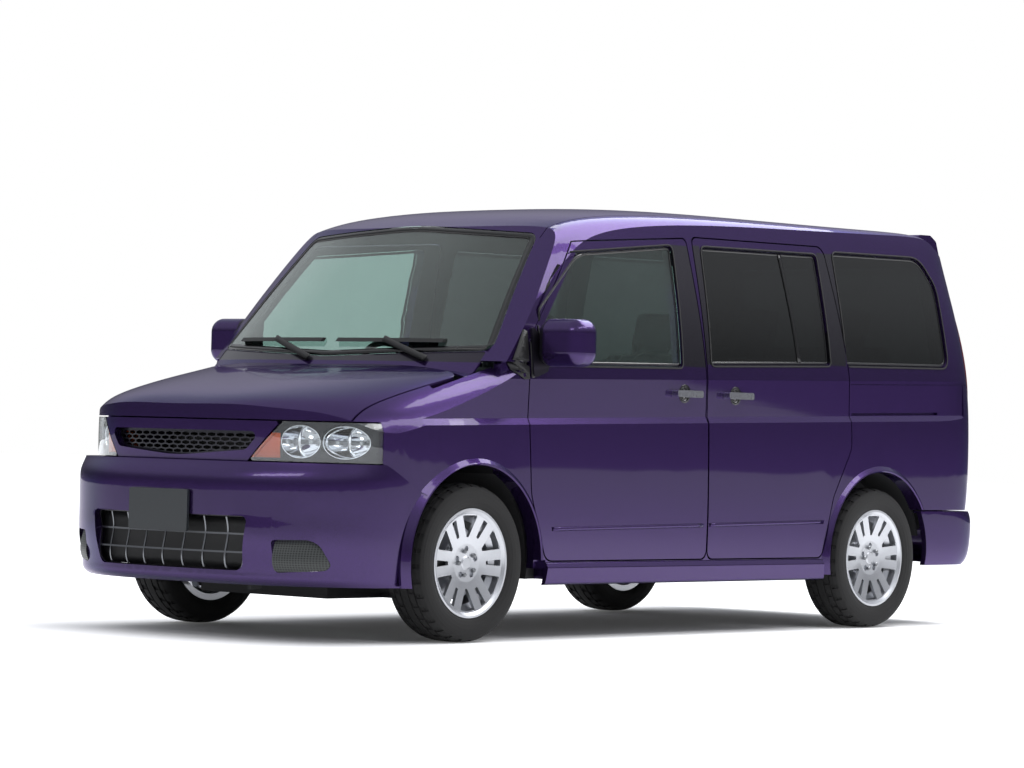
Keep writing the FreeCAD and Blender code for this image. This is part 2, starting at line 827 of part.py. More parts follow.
def pads(opening, body, places, deep_form, shallow_form, size):
    """Small hinge or catch pads that reach across a panel gap."""
    band = deep_form.cut(shallow_form)
    blocks = [box(wid(pad_inner_share), body_width, sta(y) - size / 2, sta(y) + size / 2, lev(z) - size / 2,
                  lev(z) + size / 2)
              for y, z in places]
    return [opening.cut(body).common(band).common(block) for block in blocks]


def make_bonnet_and_fenders(forms):
    crease = forms["crease"]
    plan = [(wid(x), sta(y), lev(r)) for x, y, r in bonnet_plan_shares]
    cut = plan_prism(plan, 0, 2 * body_height)
    kept = plan_prism(inset_points(plan, panel_gap), lev(bonnet_edge_share), 2 * body_height)
    shell = forms["nose"].cut(forms["nose_inner"])
    save(shell.common(kept), "bonnet")

    zone = side_prism(side_corners(fender_shares), 0, body_width)
    swing = cut.copy()
    swing.translate(V(0, cowl_gap, 0))
    fender = shell.cut(cut).cut(swing).common(zone)
    behind_bonnet = box(-wid(cowl_half_share) - seat_gap, wid(cowl_half_share) + seat_gap,
                        sta(cowl_front_share),
                        sta(cowl_rear_share), 0, 2 * body_height)
    pillar_room = side_prism(outset(side_corners(pillar_shares), seat_gap), 0,
                             body_width).common(wrap(skin_wall))
    fender = fender.cut(behind_bonnet).cut(pillar_room).fuse(arch_lip(front_axle_y).common(zone))
    fender = fender.cut(side_prism(outset(side_corners(side_shares), seat_gap), 0, body_width))
    fender = solids_of(left_half(fender.cut(forms["arches"]).cut(forms["door_cut"])))
    save(both(solids_of(fender.cut(crease))), "front_fenders")

    # The black cowl: a strip behind the bonnet and a band under the glass
    strip = nose_form(cowl_drop).cut(nose_form(cowl_drop + cowl_wall))
    strip = strip.cut(plan_prism(outset(plan, cowl_gap), 0, 2 * body_height))
    strip = strip.common(box(-wid(cowl_half_share), wid(cowl_half_share), sta(cowl_front_share),
                             sta(cowl_rear_share),
                             0, body_height))
    strip = strip.cut(cabin_form(-overrun / 2, -overrun, screen_set + overlap))
    band = cabin_form(cowl_wall, 0, screen_set).cut(cabin_form(-overrun / 2, -overrun,
                                                               screen_set + cowl_wall))
    band = band.common(forms["cowl_zone"])
    save(solids_of(strip.fuse(band), 0.2), "cowl_panel")
    return shell


def make_sides(forms):
    shell = forms["cabin"].cut(forms["cabin_inner"])
    door = shell.common(door_prism(door_corners, 0)).common(forms["behind_pillar"])
    door = left_half(door.cut(forms["door_window"]))
    slide = left_half(shell.common(door_prism(slide_corners, 0)).cut(panel_window(slide_glass_shares)))
    half_bar = handle_length / 2
    door = door.cut(forms["crease"]).cut(cup(sta(handle_front_share) + half_bar))
    slide = slide.cut(forms["crease"]).cut(cup(sta(handle_slide_share) + half_bar))
    save(solids_of(door), "front_door_left")
    save(mirrored(solids_of(door)), "front_door_right")
    save(solids_of(slide), "sliding_door")
    forms["front"] = solids_of(door)
    forms["sliding"] = solids_of(slide)

    zone = side_prism(side_corners(side_shares), 0, body_width)
    side = left_half(shell.common(zone))
    side = side.cut(forms["roof_cut"]).cut(forms["screen_cut"]).cut(forms["tail_cut"]).cut(forms["cowl_zone"])
    side = side.fuse(arch_lip(rear_axle_y).common(zone))
    side = side.cut(forms["arches"]).cut(forms["door_cut"]).cut(panel_window(quarter_glass_shares))
    side = solids_of(left_half(side), 0.05)
    side = side.cut(forms["crease"])

    # The hinge pillar stands inside the rear end of the fender
    pillar = wrap(skin_wall + seat_gap).cut(wrap(side_wall))
    pillar = pillar.common(side_prism(side_corners(pillar_shares), 0, body_width))
    pillar = pillar.cut(forms["door_cut"]).cut(forms["arches"])
    near = door_prism(door_corners, seat_gap)
    band = wrap(skin_wall + seat_gap)
    hinge_pads = pads(forms["door_cut"], near, hinge_places, band, wrap(side_wall - overlap), hinge_height)
    pillar = left_half(pillar)
    side = side.fuse(pillar).multiFuse([left_half(p) for p in hinge_pads if p.Volume > 0])

    near_slide = door_prism(slide_corners, seat_gap)
    left = side.cut(forms["slide_cut"])
    catches = pads(forms["slide_cut"], near_slide, catch_places, band, wrap(side_wall - overlap),
                   hinge_height)
    left = left.multiFuse([left_half(p) for p in catches if p.Volume > 0])
    left = left.cut(slot_along(rail_ends[0], rail_ends[1], rail_rise, rail_tall, rail_depth))
    left = left.cut(slot_along(seam_ends[0], seam_ends[1], seam_rise, seam_tall, seam_depth))
    save(solids_of(left, 0.05), "side_panel_left")

    right = side.cut(panel_window(slide_glass_shares))
    lid_corners = side_corners(fuel_lid_shares)
    lid = wrap(0).cut(wrap(lid_wall)).common(side_prism(lid_corners, half_width / 2, body_width))
    pocket = side_prism(outset(lid_corners, panel_gap), 0, body_width).cut(wrap(pocket_depth))
    boss = wrap(lid_wall + seat_gap).cut(wrap(pocket_depth + overlap))
    lid_front = lid_corners[0][0]
    middle = lev(fuel_lid_shares[0][1] + fuel_lid_shares[1][1]) / 2
    boss = boss.common(box(wid(pad_inner_share), body_width, lid_front, lid_front + boss_length,
                           middle - hinge_height / 2, middle + hinge_height / 2))
    right = right.cut(pocket).fuse(left_half(boss))
    save(mirrored(solids_of(right, 0.05)), "side_panel_right")
    save(mirrored(lid), "fuel_lid")
    return shell


def make_roof_and_tail(forms, shell):
    roof = shell.common(forms["roof_plan"]).cut(forms["screen_cut"]).cut(forms["tail_cut"])
    hinges = []
    for x in (-tail_hinge_share, tail_hinge_share):
        pad = shell.common(box(wid(x) - hinge_height / 2, wid(x) + hinge_height / 2, tail_split_y - panel_gap,
                               tail_split_y - seat_gap, lev(roof_base_share), 2 * body_height))
        hinges.append(pad)
    roof = roof.multiFuse(hinges)
    save(solids_of(roof, 0.05), "roof_panel")

    window = [(wid(x), lev(z), lev(r)) for x, z, r in tail_window_shares]
    gate = shell.common(forms["tail_body"]).cut(front_prism(window, sta(gate_zone_share), sta(beyond_share)))
    save(solids_of(gate, 0.05), "tailgate")
    layer = wrap(glass_setback / 2).cut(wrap(glass_setback / 2 + glass_wall))
    pane = layer.common(front_prism(inset_points(window, seat_gap), sta(pane_zone_share), sta(beyond_share)))
    save(pane, "tailgate_glass")

    # The roof spoiler carries the roof line out over the glass
    profile = [(sta(y), lev(z), lev(r)) for y, z, r in spoiler_shares]
    wing = side_prism(profile, -wid(spoiler_half_share), wid(spoiler_half_share))
    wing = wing.cut(cabin_form(-seat_gap, -seat_gap, 0))
    save(solids_of(wing, 0.3), "rear_spoiler")


def make_glass(forms):
    layer = cabin_form(0, 0, screen_set).cut(cabin_form(-overrun / 2, -overrun, screen_set + glass_wall))
    front = [(wid(x), lev(z), lev(r)) for x, z, r in screen_glass_shares]
    pane = layer.common(front_prism(inset_points(front, seat_gap), sta(screen_zone_front_share),
                                    sta(screen_zone_rear_share)))
    save(solids_of(pane, 0.5), "windscreen")

    layer = wrap(glass_setback).cut(wrap(glass_setback + glass_wall))
    panes = {}
    for name, shares in (("door", door_glass_shares), ("slide", slide_glass_shares),
                         ("quarter", quarter_glass_shares)):
        corners = inset_points(side_corners(shares), seat_gap)
        panes[name] = left_half(layer.common(side_prism(corners, 0, body_width)))
    pane_edge = cabin_form(-overrun, -overrun, pillar_width + panel_gap + frame_width + seat_gap)
    panes["door"] = solids_of(panes["door"].common(pane_edge), 0.5)
    save(panes["door"], "front_door_glass_left")
    save(mirrored(panes["door"]), "front_door_glass_right")
    fixed = [panes["slide"], panes["quarter"]]
    save(Part.makeCompound(fixed + [mirrored(p) for p in fixed]), "side_glass")


def make_front(forms):
    outer = bumper_form(front_bumper_level_shares, 0, True)
    inner = bumper_form(front_bumper_level_shares, bumper_wall, True)
    zone = side_prism(side_corners(front_bumper_zone_shares), -body_width, body_width)
    lip = arch_lip(front_axle_y)
    bumper = outer.cut(inner).cut(wrap(shelf_depth)).common(zone)
    # The lip ends level with the bumper's underside
    lip = lip.common(box(-body_width, body_width, sta(ahead_share), front_axle_y,
                         lev(front_bumper_level_shares[0][0]), body_height))
    bumper = bumper.fuse(both(lip).common(zone)).cut(forms["arches"]).cut(mirrored(forms["arches"]))
    bumper = bumper.cut(side_prism(outset(side_corners(fender_shares), seat_gap), -body_width, body_width))
    intake = [(wid(x), lev(z), lev(r)) for x, z, r in intake_shares]
    fog = [(wid(x), lev(z), lev(r)) for x, z, r in fog_shares]
    nose_front = sta(ahead_share)
    bumper = bumper.cut(front_prism(intake, nose_front, sta(grille_back_share)))
    fog_hole = front_prism(fog, nose_front, sta(fog_back_share))
    bumper = bumper.cut(fog_hole).cut(mirrored(fog_hole))
    save(solids_of(bumper, 0.3), "front_bumper")

    # Lower intake: a curved plate cut into cells by two bars and a row of uprights
    back = bumper_form(front_bumper_level_shares, grille_set, True)
    back_inner = bumper_form(front_bumper_level_shares, grille_set + grille_wall, True)
    sheet = back.cut(back_inner)
    plate = sheet.common(front_prism(inset_points(intake, seat_gap), nose_front, sta(grille_back_share)))
    low = min(v for u, v, r in intake)
    high = max(v for u, v, r in intake)
    wide = max(u for u, v, r in intake)
    cells = []
    step_x = 2 * wide / intake_columns
    step_z = (high - low) / intake_rows
    for i in range(intake_columns):
        for j in range(intake_rows):
            x0 = -wide + i * step_x + grille_bar / 2
            z0 = low + j * step_z + grille_bar / 2
            cells.append(box(x0, x0 + step_x - grille_bar, nose_front, sta(grille_back_share), z0,
                             z0 + step_z - grille_bar))
    rim = front_prism(inset_points(intake, grille_frame), nose_front, sta(grille_back_share))
    black = [plate.cut(Part.makeCompound(cells).common(rim))]
    cover = bumper_form(front_bumper_level_shares, fog_set, True)
    cover = cover.cut(bumper_form(front_bumper_level_shares, fog_set + grille_wall, True))
    cover = cover.common(front_prism(inset_points(fog, seat_gap), nose_front, sta(fog_back_share)))
    black.append(both(solids_of(cover)))

    plate_y = sta(plate_share)
    plate = box(-plate_width / 2, plate_width / 2, plate_y, plate_y + plate_thickness,
                plate_bottom, plate_bottom + plate_height)
    plate = plate.makeFillet(plate_corner, [e for e in plate.Edges if abs(e.tangentAt(0).y) > 0.9])
    save(plate, "number_plate")

    # Painted frame between the headlamps, with its honeycomb
    shell = forms["nose"].cut(nose_form(surround_depth))
    frame = [(wid(x), lev(z), lev(r)) for x, z, r in surround_shares]
    mouth = [(wid(x), lev(z), lev(r)) for x, z, r in mouth_shares]
    surround = shell.common(front_prism(frame, nose_front, sta(grille_back_share)))
    save(solids_of(surround.cut(front_prism(mouth, nose_front, sta(grille_back_share)))), "grille_surround")
    sheet = nose_form(mesh_set).cut(nose_form(mesh_set + grille_wall))
    sheet = sheet.common(front_prism(inset_points(mouth, seat_gap), nose_front, sta(grille_back_share)))
    low = min(v for u, v, r in mouth)
    high = max(v for u, v, r in mouth)
    wide = max(u for u, v, r in mouth)
    cells = []
    rows = mesh_rows
    pitch_z = (high - low) / rows
    pitch_x = 2 * wide / mesh_columns
    for j in range(rows + 1):
        shift = pitch_x / 2 if j % 2 else 0
        for i in range(mesh_columns + 1):
            u = -wide + i * pitch_x + shift
            v = low + j * pitch_z
            half_u = (pitch_x - mesh_web) / 2
            half_v = (pitch_z * 4 / 3 - mesh_web) / 2
            points = [V(u - half_u, nose_front, v - half_v / 2), V(u, nose_front, v - half_v),
                      V(u + half_u, nose_front, v - half_v / 2), V(u + half_u, nose_front, v + half_v / 2),
                      V(u, nose_front, v + half_v), V(u - half_u, nose_front, v + half_v / 2)]
            hexagon = Part.Face(Part.makePolygon(points + points[:1]))
            cells.append(hexagon.extrude(V(0, sta(grille_back_share) - nose_front, 0)))
    rim = front_prism(inset_points(mouth, mesh_web), nose_front, sta(grille_back_share))
    black.append(sheet.cut(Part.makeCompound(cells).common(rim)))
    save(Part.makeCompound(black), "grilles")

    # Headlamps: a housing with two reflector bowls behind a clear cover
    lamp = [(wid(x), lev(z), lev(r)) for x, z, r in lamp_shares]
    lamp_zone = front_prism(lamp, nose_front, lamp_end_y)
    cover = forms["nose"].cut(nose_form(lens_wall)).common(lamp_zone)
    housing = nose_form(lens_wall + lens_gap).cut(nose_form(lamp_depth)).common(
        front_prism(inset_points(lamp, seat_gap), nose_front, lamp_end_y - lens_wall))
    rear_wall = nose_form(lamp_depth - lens_wall)
    for x, z, radius in bowl_shares:
        bowl = Part.makeCylinder(lev(radius), overrun * 2, V(wid(x), nose_front, lev(z)), V(0, 1, 0))
        housing = housing.cut(bowl.cut(rear_wall))
    rim_band = nose_form(lens_wall).cut(nose_form(lens_wall + lens_gap + overlap))
    rim_band = rim_band.common(lamp_zone).cut(front_prism(inset_points(lamp, lens_wall), nose_front,
                                                          front_axle_y))
    save(both(solids_of(left_half(cover), 0.2)), "headlamp_lenses")
    save(both(solids_of(left_half(housing.fuse(rim_band.common(nose_form(lens_wall + seat_gap)))), 0.2)),
         "headlamp_units")


def make_rear(forms):
    outer = bumper_form(rear_bumper_level_shares, 0, False)
    inner = bumper_form(rear_bumper_level_shares, bumper_wall, False)
    zone = side_prism(side_corners(rear_bumper_zone_shares), -body_width, body_width)
    bumper = outer.cut(inner).cut(wrap(shelf_depth)).common(zone)
    bumper = bumper.cut(forms["arches"]).cut(mirrored(forms["arches"]))
    # Two brackets reach from the bumper to the underside of the load floor
    behind = bumper_form(rear_bumper_level_shares, bumper_wall - overlap, False)
    for sign in (-1, 1):
        x0, x1 = sign * bracket_x, sign * (bracket_x + bracket_width)
        foot_y = sta(bracket_share)
        bracket = box(x0, x1, foot_y, sta(beyond_share), bracket_bottom, bracket_bottom + bracket_tall)
        bumper = bumper.fuse(bracket.common(behind))
        bumper = bumper.fuse(box(x0, x1, foot_y, foot_y + bracket_tall, bracket_bottom,
                                 load_floor_height - floor_wall - seat_gap))
    save(solids_of(bumper, 0.3), "rear_bumper")
    lamp = [(wid(x), lev(z), lev(r)) for x, z, r in tail_lamp_shares]
    body = wrap(-lamp_proud).cut(wrap(-seat_gap)).common(front_prism(lamp, sta(tail_lamp_front_share),
                                                                     sta(beyond_share)))
    body = body.common(side_prism(side_corners(tail_lamp_side_shares), -body_width, body_width))
    save(both(solids_of(left_half(body), 0.3)), "tail_lamps")


def make_trim(forms):
    # Side skirts
    points = [(wid(x), lev(z), lev(r)) for x, z, r in skirt_shares]
    face = Part.Face(rounded_wire([(V(u, sta(skirt_front_share), v), r) for u, v, r in points]))
    skirt = face.extrude(V(0, sta(skirt_rear_share) - sta(skirt_front_share), 0))
    lip_reach = arch_radius + arch_lip_width + panel_gap
    skirt = skirt.cut(wrap(-seat_gap))
    for axle_y in (front_axle_y, rear_axle_y):
        skirt = skirt.cut(wheel_space(axle_y, 0, body_width, lip_reach))
    save(both(solids_of(skirt, 0.3)), "side_skirts")

    # Bar handles on the doors, with their feet on the hollow above the crease
    for name, share in (("front", handle_front_share), ("sliding", handle_slide_share)):
        y0 = sta(share)
        z0 = lev(handle_height_share)
        outer = wrap(-handle_proud).cut(wrap(handle_sink))
        panel = forms[name].copy()
        panel.translate(V(seat_gap, 0, 0))
        bar = outer.common(side_prism([(y0, z0 - handle_tall / 2, handle_tall / 3),
                                       (y0 + handle_length, z0 - handle_tall / 2, handle_tall / 3),
                                       (y0 + handle_length, z0 + handle_tall / 2, handle_tall / 3),
                                       (y0, z0 + handle_tall / 2, handle_tall / 3)], 0, body_width))
        grip = wrap(-handle_proud + handle_bar).common(
            box(0, body_width, y0 + handle_foot, y0 + handle_length - handle_foot, z0 - handle_tall,
                z0 + handle_tall))
        bar = left_half(bar.cut(grip).cut(panel))
        if name == "front":
            save(bar, "door_handle_left")
            save(mirrored(bar), "door_handle_right")
        else:
            save(bar, "sliding_door_handle")

    # Door mirrors
    cx, cy, cz = wid(mirror_share[0]), sta(mirror_share[1]), lev(mirror_share[2])
    shell = box(cx - mirror_width / 2, cx + mirror_width / 2, cy - mirror_depth / 2, cy + mirror_depth / 2,
                cz - mirror_tall / 2, cz + mirror_tall / 2)
    shell = shell.makeFillet(mirror_round, shell.Edges)
    cavity = box(cx - mirror_width / 2 + mirror_rim, cx + mirror_width / 2 - mirror_rim,
                 cy + mirror_depth / 2 - mirror_rim, cy + mirror_depth, cz - mirror_tall / 2 + mirror_rim,
                 cz + mirror_tall / 2 - mirror_rim)
    cavity = cavity.makeFillet(mirror_round / 2, [e for e in cavity.Edges if abs(e.tangentAt(0).y) > 0.9])
    arm = box(wid(mirror_root_share), cx - mirror_width / 4, cy - mirror_depth / 4, cy + mirror_depth / 5,
              cz - mirror_tall / 3, cz + mirror_tall / 8)
    base = wrap(-mirror_base).cut(wrap(-seat_gap)).common(
        side_prism(side_corners(mirror_base_shares), 0, body_width))
    mirror = shell.cut(cavity).fuse(arm.cut(wrap(-seat_gap))).fuse(left_half(base))
    save(mirror, "mirror_left")
    save(mirrored(mirror), "mirror_right")

    # Wipers lie on the glass
    blades = []
    for x0, x1 in wiper_share_pairs:
        level = lev(wiper_height_share)
        band = cabin_form(0, 0, -wiper_lift).cut(cabin_form(-overrun / 2, -overrun, screen_set - seat_gap))
        slab = front_prism([(wid(x0), level, 1), (wid(x1), level, 1), (wid(x1), level + wiper_blade, 1),
                            (wid(x0), level + wiper_blade,
                             1)], sta(screen_zone_front_share), sta(screen_zone_rear_share))
        blades.append(solids_of(band.common(slab), 0.5))
    save(Part.makeCompound(blades), "wipers")


def make_floor(forms):
    inside = wrap(side_wall + seat_gap)
    door_clear = wid(floor_half_share)
    y_fire = sta(fire_share)
    y_kick = sta(kick_share)
    y_back = sta(back_share)
    under = floor_height - floor_wall
    rail_in = wid(rail_inner_share)
    parts = [box(-door_clear, door_clear, y_fire, y_kick + floor_wall, under, floor_height)]
    for sign in (-1, 1):
        parts.append(box(sign * rail_in, sign * door_clear, y_fire, y_kick, sill_height, under))
        parts.append(box(sign * rail_in, sign * half_width, sta(sill_front_share), sta(sill_rear_share),
                         sill_height, sill_top))
    parts.append(box(-half_width, half_width, y_kick, y_kick + floor_wall, under, load_floor_height))
    parts.append(box(-half_width, half_width, y_kick, y_back, load_floor_height - floor_wall,
                     load_floor_height))
    parts.append(box(-wid(back_half_share), wid(back_half_share), y_back - floor_wall, y_back, under,
                     load_floor_height))
    parts.append(box(-half_width, half_width, y_fire, y_fire + floor_wall, under, lev(cowl_foot_share)))
    floor = fuse_all(parts)
    house_r = arch_radius + house_clearance
    for axle_y, inner_share, foot, y0, y1 in (
            (front_axle_y, front_house_share, sill_height, y_fire, sta(front_house_end_share)),
            (rear_axle_y, house_share, house_foot, sta(rear_house_start_share), sta(rear_house_end_share))):
        for sign in (-1, 1):
            x_in, x_out = sign * wid(inner_share), sign * half_width
            lo, hi = min(x_in, x_out), max(x_in, x_out)
            near = lo + (house_wall if sign > 0 else 0)
            far = hi - (house_wall if sign < 0 else 0)
            full = wheel_space(axle_y, lo, hi, house_r + house_wall)
            hollow = wheel_space(axle_y, near, far, house_r)
            house = full.cut(hollow).common(box(lo, hi, y0, y1, foot, body_height))
            floor = floor.cut(wheel_space(axle_y, lo, hi, house_r)).fuse(house)
    floor = floor.common(inside)
    # Keep the floor clear of the front doors' inner faces
    for sign in (-1, 1):
        floor = floor.cut(box(sign * door_clear, sign * half_width, sta(door_room_front_share),
                              sta(door_room_rear_share), sill_top, lev(door_room_top_share)))
    save(solids_of(floor.removeSplitter(), 0.05), "floor_pan")


def kingpin(sign):
    """Foot and direction of the leaning steering axis."""
    lean = math.radians(kingpin_lean)
    ground_x = half_track
    foot = V(sign * (ground_x - ball_height * math.tan(lean)), front_axle_y, ball_height)
    axis = V(-sign * math.sin(lean), 0, math.cos(lean))
    return foot, axis


def make_front_frame():
    y0, y1 = sta(frame_front_share), sta(fire_share) - seat_gap
    parts = []
    for sign in (-1, 1):
        parts.append(box(sign * rail_x, sign * (rail_x + rail_width), y0, y1, rail_bottom,
                         rail_bottom + rail_height))
        wing_x = rail_x + rail_width
        parts.append(box(sign * (wing_x - wing_wall), sign * wing_x, sta(wing_front_share), y1, rail_bottom,
                         wing_top))
        parts.append(box(sign * (wing_x - wing_wall), sign * wing_x, front_axle_y - tower_length / 2,
                         front_axle_y + tower_length / 2, rail_bottom, tower_top))
        parts.append(box(sign * (wing_x - wing_wall), sign * tower_out, front_axle_y - tower_length / 2,
                         front_axle_y + tower_length / 2, tower_top - tower_wall, tower_top))
        parts.append(box(sign * (rail_x + wing_wall), sign * support_out, sta(radiator_share),
                         sta(radiator_share) + support_wall,
                         rail_bottom, support_top))
    parts.append(box(-beam_out, beam_out, y0, y0 + support_wall, rail_bottom, rail_bottom + rail_height))
    parts.append(box(-support_out, support_out, sta(radiator_share), sta(radiator_share) + support_wall,
                     support_top - support_wall,
                     support_top))
    frame = fuse_all(parts)
    # Posts on the strut towers carry the bonnet's hinges
    under_skin = nose_form(skin_wall + seat_gap)
    for sign in (-1, 1):
        post = box(sign * (tower_out - hinge_height), sign * tower_out, bonnet_hinge_y - hinge_height,
                   bonnet_hinge_y - hinge_height / 2, tower_top - overlap, body_height)
        frame = frame.fuse(post.common(under_skin))
    # A towing eye hangs from the front end of the left rail
    eye_y = y0 + tow_wall
    eye = box(rail_x, rail_x + tow_wall, eye_y, eye_y + tow_width, tow_bottom, rail_bottom + overlap)
    bore = Part.makeCylinder(tow_radius, tow_wall,
                             V(rail_x, eye_y + tow_width / 2, tow_bottom + tow_width / 2),
                             V(1, 0, 0))
    save(frame.fuse(eye.cut(bore)).removeSplitter(), "front_frame")


def make_engine_and_subframe():
    front = sta(radiator_share)
    radiator = box(-radiator_half, radiator_half, front, front + radiator_depth, radiator_bottom,
                   rail_bottom - seat_gap)
    upper = box(-rail_x + seat_gap, rail_x - seat_gap, front, front + radiator_depth, rail_bottom - overlap,
                support_top - support_wall - seat_gap)
    save(radiator.fuse(upper).removeSplitter(), "radiator")
    engine = box(-engine_length / 2, engine_length / 2, sta(engine_front_share), sta(engine_rear_share),
                 engine_bottom, engine_top)
    engine = engine.makeChamfer(engine_chamfer, [e for e in engine.Edges if abs(e.tangentAt(0).x) > 0.9])
    save(engine, "engine_block")
    y0, y1 = sta(subframe_front_share), sta(fire_share) - seat_gap
    top = subframe_bottom + subframe_height
    parts = [box(-subframe_half, subframe_half, y0, y0 + subframe_bar, subframe_bottom, top),
             box(-subframe_half, subframe_half, y1 - subframe_bar, y1, subframe_bottom, top)]
    for sign in (-1, 1):
        parts.append(box(sign * (subframe_half - subframe_bar), sign * subframe_half, y0, y1,
                         subframe_bottom, top))
        foot, axis = kingpin(sign)
        socket = foot - axis * arm_height
        parts.append(Part.makeCylinder(arm_width / 2, arm_height, socket, axis))
        tip = abs(foot.x) - arm_width / 4
        parts.append(box(sign * (subframe_half - subframe_bar), sign * tip, front_axle_y - arm_width / 2,
                         front_axle_y + arm_width / 2, ball_height - arm_height,
                         ball_height - arm_height / 3))
        for y in (y0, y1 - subframe_bar):
            parts.append(box(sign * rail_x, sign * (rail_x - subframe_bar), y, y + subframe_bar, top,
                             rail_bottom - seat_gap))
            parts.append(box(sign * (rail_x - subframe_bar), sign * (rail_x + rail_width), y,
                             y + subframe_bar,
                             rail_bottom - subframe_bar, rail_bottom - seat_gap))
        mount_y = sta(engine_front_share) + subframe_bar / 2
        parts.append(box(sign * engine_length / 4, sign * (engine_length / 4 + subframe_bar), y0,
                         y0 + subframe_bar,
                         top, engine_bottom - seat_gap))
        parts.append(box(sign * engine_length / 4, sign * (engine_length / 4 + subframe_bar), y0,
                         mount_y + subframe_bar,
                         engine_bottom - seat_gap - subframe_bar / 2, engine_bottom - seat_gap))
    save(fuse_all(parts), "front_subframe")


def strut_and_spring(strut_start, spring_start, top):
    """Damper tube, spring plate and spring, turned round Z in one piece."""
    outer = spring_radius + spring_wire
    seat = spring_start + spring_wire
    corners = [V(0, 0, strut_start), V(strut_radius, 0, strut_start), V(strut_radius, 0, spring_start),
               V(outer, 0, spring_start), V(outer, 0, seat), V(spring_radius, 0, seat)]
    edges = [Part.makeLine(a, b) for a, b in zip(corners, corners[1:])]
    low = corners[-1]
    pitch = (top - seat) / spring_turns
    for i in range(spring_turns):
        middle = seat + pitch * (i + 0.5)
        foot = V(spring_radius, 0, middle - spring_wire)
        head = V(spring_radius, 0, middle + spring_wire)
        edges.append(Part.makeLine(low, foot))
        edges.append(Part.Arc(foot, V(outer, 0, middle), head).toShape())
        low = head
    edges.append(Part.makeLine(low, V(spring_radius, 0, top)))
    edges.append(Part.makeLine(V(spring_radius, 0, top), V(0, 0, top)))
    edges.append(Part.makeLine(V(0, 0, top), corners[0]))
    return Part.Face(Part.Wire(edges)).revolve(V(0, 0, 0), V(0, 0, 1), 360)


def make_knuckles():
    foot, axis = kingpin(1)
    tower_under = tower_top - tower_wall
    tilt_rise = spring_radius * math.tan(math.radians(kingpin_lean))
    top_reach = (tower_under - foot.z) / axis.z - tilt_rise - seat_gap
    boss = Part.makeCylinder(arm_width / 2.4, arm_height, foot + axis * seat_gap, axis)
    hub_end = half_track + hub_offset - hat_depth - disc_thickness - seat_gap
    hub = Part.makeCylinder(hub_barrel_radius, hub_end - hub_inner_x,
                            V(hub_inner_x, front_axle_y, tyre_radius),
                            V(1, 0, 0))
    low = foot + axis * (seat_gap + arm_height / 2)
    upright = Part.Face(Part.makePolygon([
        V(low.x - upright_half, 0, low.z), V(low.x + upright_half, 0, low.z),
        V(hub_inner_x + upright_half * 2, 0, tyre_radius), V(hub_inner_x + upright_half, 0, strut_foot_z),
        V(hub_inner_x - upright_half, 0, strut_foot_z), V(hub_inner_x - upright_half / 2, 0, tyre_radius),
        V(low.x - upright_half, 0, low.z)]))
    upright.translate(V(0, front_axle_y - upright_width / 2, 0))
    upright = upright.extrude(V(0, upright_width, 0))
    strut_start = (strut_foot_z - upright_half * 2 - foot.z) / axis.z
    spring_start = (spring_foot_z - foot.z) / axis.z
    strut = strut_and_spring(strut_start, spring_start, top_reach)
    strut.Placement = FreeCAD.Placement(foot, FreeCAD.Rotation(V(0, 0, 1), axis))
    caliper = box(hub_end - caliper_wall, hub_end + disc_thickness + caliper_gap + caliper_wall,
                  front_axle_y - caliper_reach, front_axle_y - caliper_inner, tyre_radius - caliper_tall / 2,
                  tyre_radius + caliper_tall / 2)
    slot = Part.makeCylinder(disc_radius + caliper_gap, disc_thickness + 2 * caliper_gap,
                             V(hub_end + seat_gap - caliper_gap, front_axle_y, tyre_radius), V(1, 0, 0))
    bracket = box(hub_inner_x, hub_end - caliper_gap, front_axle_y - caliper_reach + caliper_wall,
                  front_axle_y,
                  tyre_radius - caliper_tall / 3, tyre_radius + caliper_tall / 3)
    knuckle = fuse_all([boss, hub, upright, strut, bracket, caliper.cut(slot)])
    save(knuckle, "front_knuckle_left")
    save(mirrored(knuckle), "front_knuckle_right")


def make_rear_axle():
    arm_y = sta(arm_pivot_share)
    parts = []
    beam_y = sta(beam_share)
    beam = Part.makeCylinder(beam_radius, 2 * arm_x, V(-arm_x, beam_y, beam_height), V(1, 0, 0))
    parts.append(beam)
    hub_end = half_track + hub_offset - seat_gap
    for sign in (-1, 1):
        pivot = V(sign * arm_x, arm_y, pivot_height)
        wheel = V(sign * arm_x, rear_axle_y, tyre_radius)
        parts.append(rod(pivot, wheel, arm_radius))
        parts.append(box(sign * (arm_x - arm_radius), sign * (arm_x + arm_radius), arm_y - arm_radius,
                         arm_y + arm_radius, pivot_height, floor_height - floor_wall - seat_gap))
        parts.append(rod(wheel, V(sign * hub_end, rear_axle_y, tyre_radius), hub_barrel_radius))
        spring_y = (rear_axle_y + beam_y) / 2
        parts.append(Part.makeCylinder(rear_spring_radius,
                                       load_floor_height - floor_wall - seat_gap - tyre_radius,
                                       V(sign * (arm_x - rear_spring_radius / 2), spring_y, tyre_radius)))
    save(fuse_all(parts), "rear_axle")


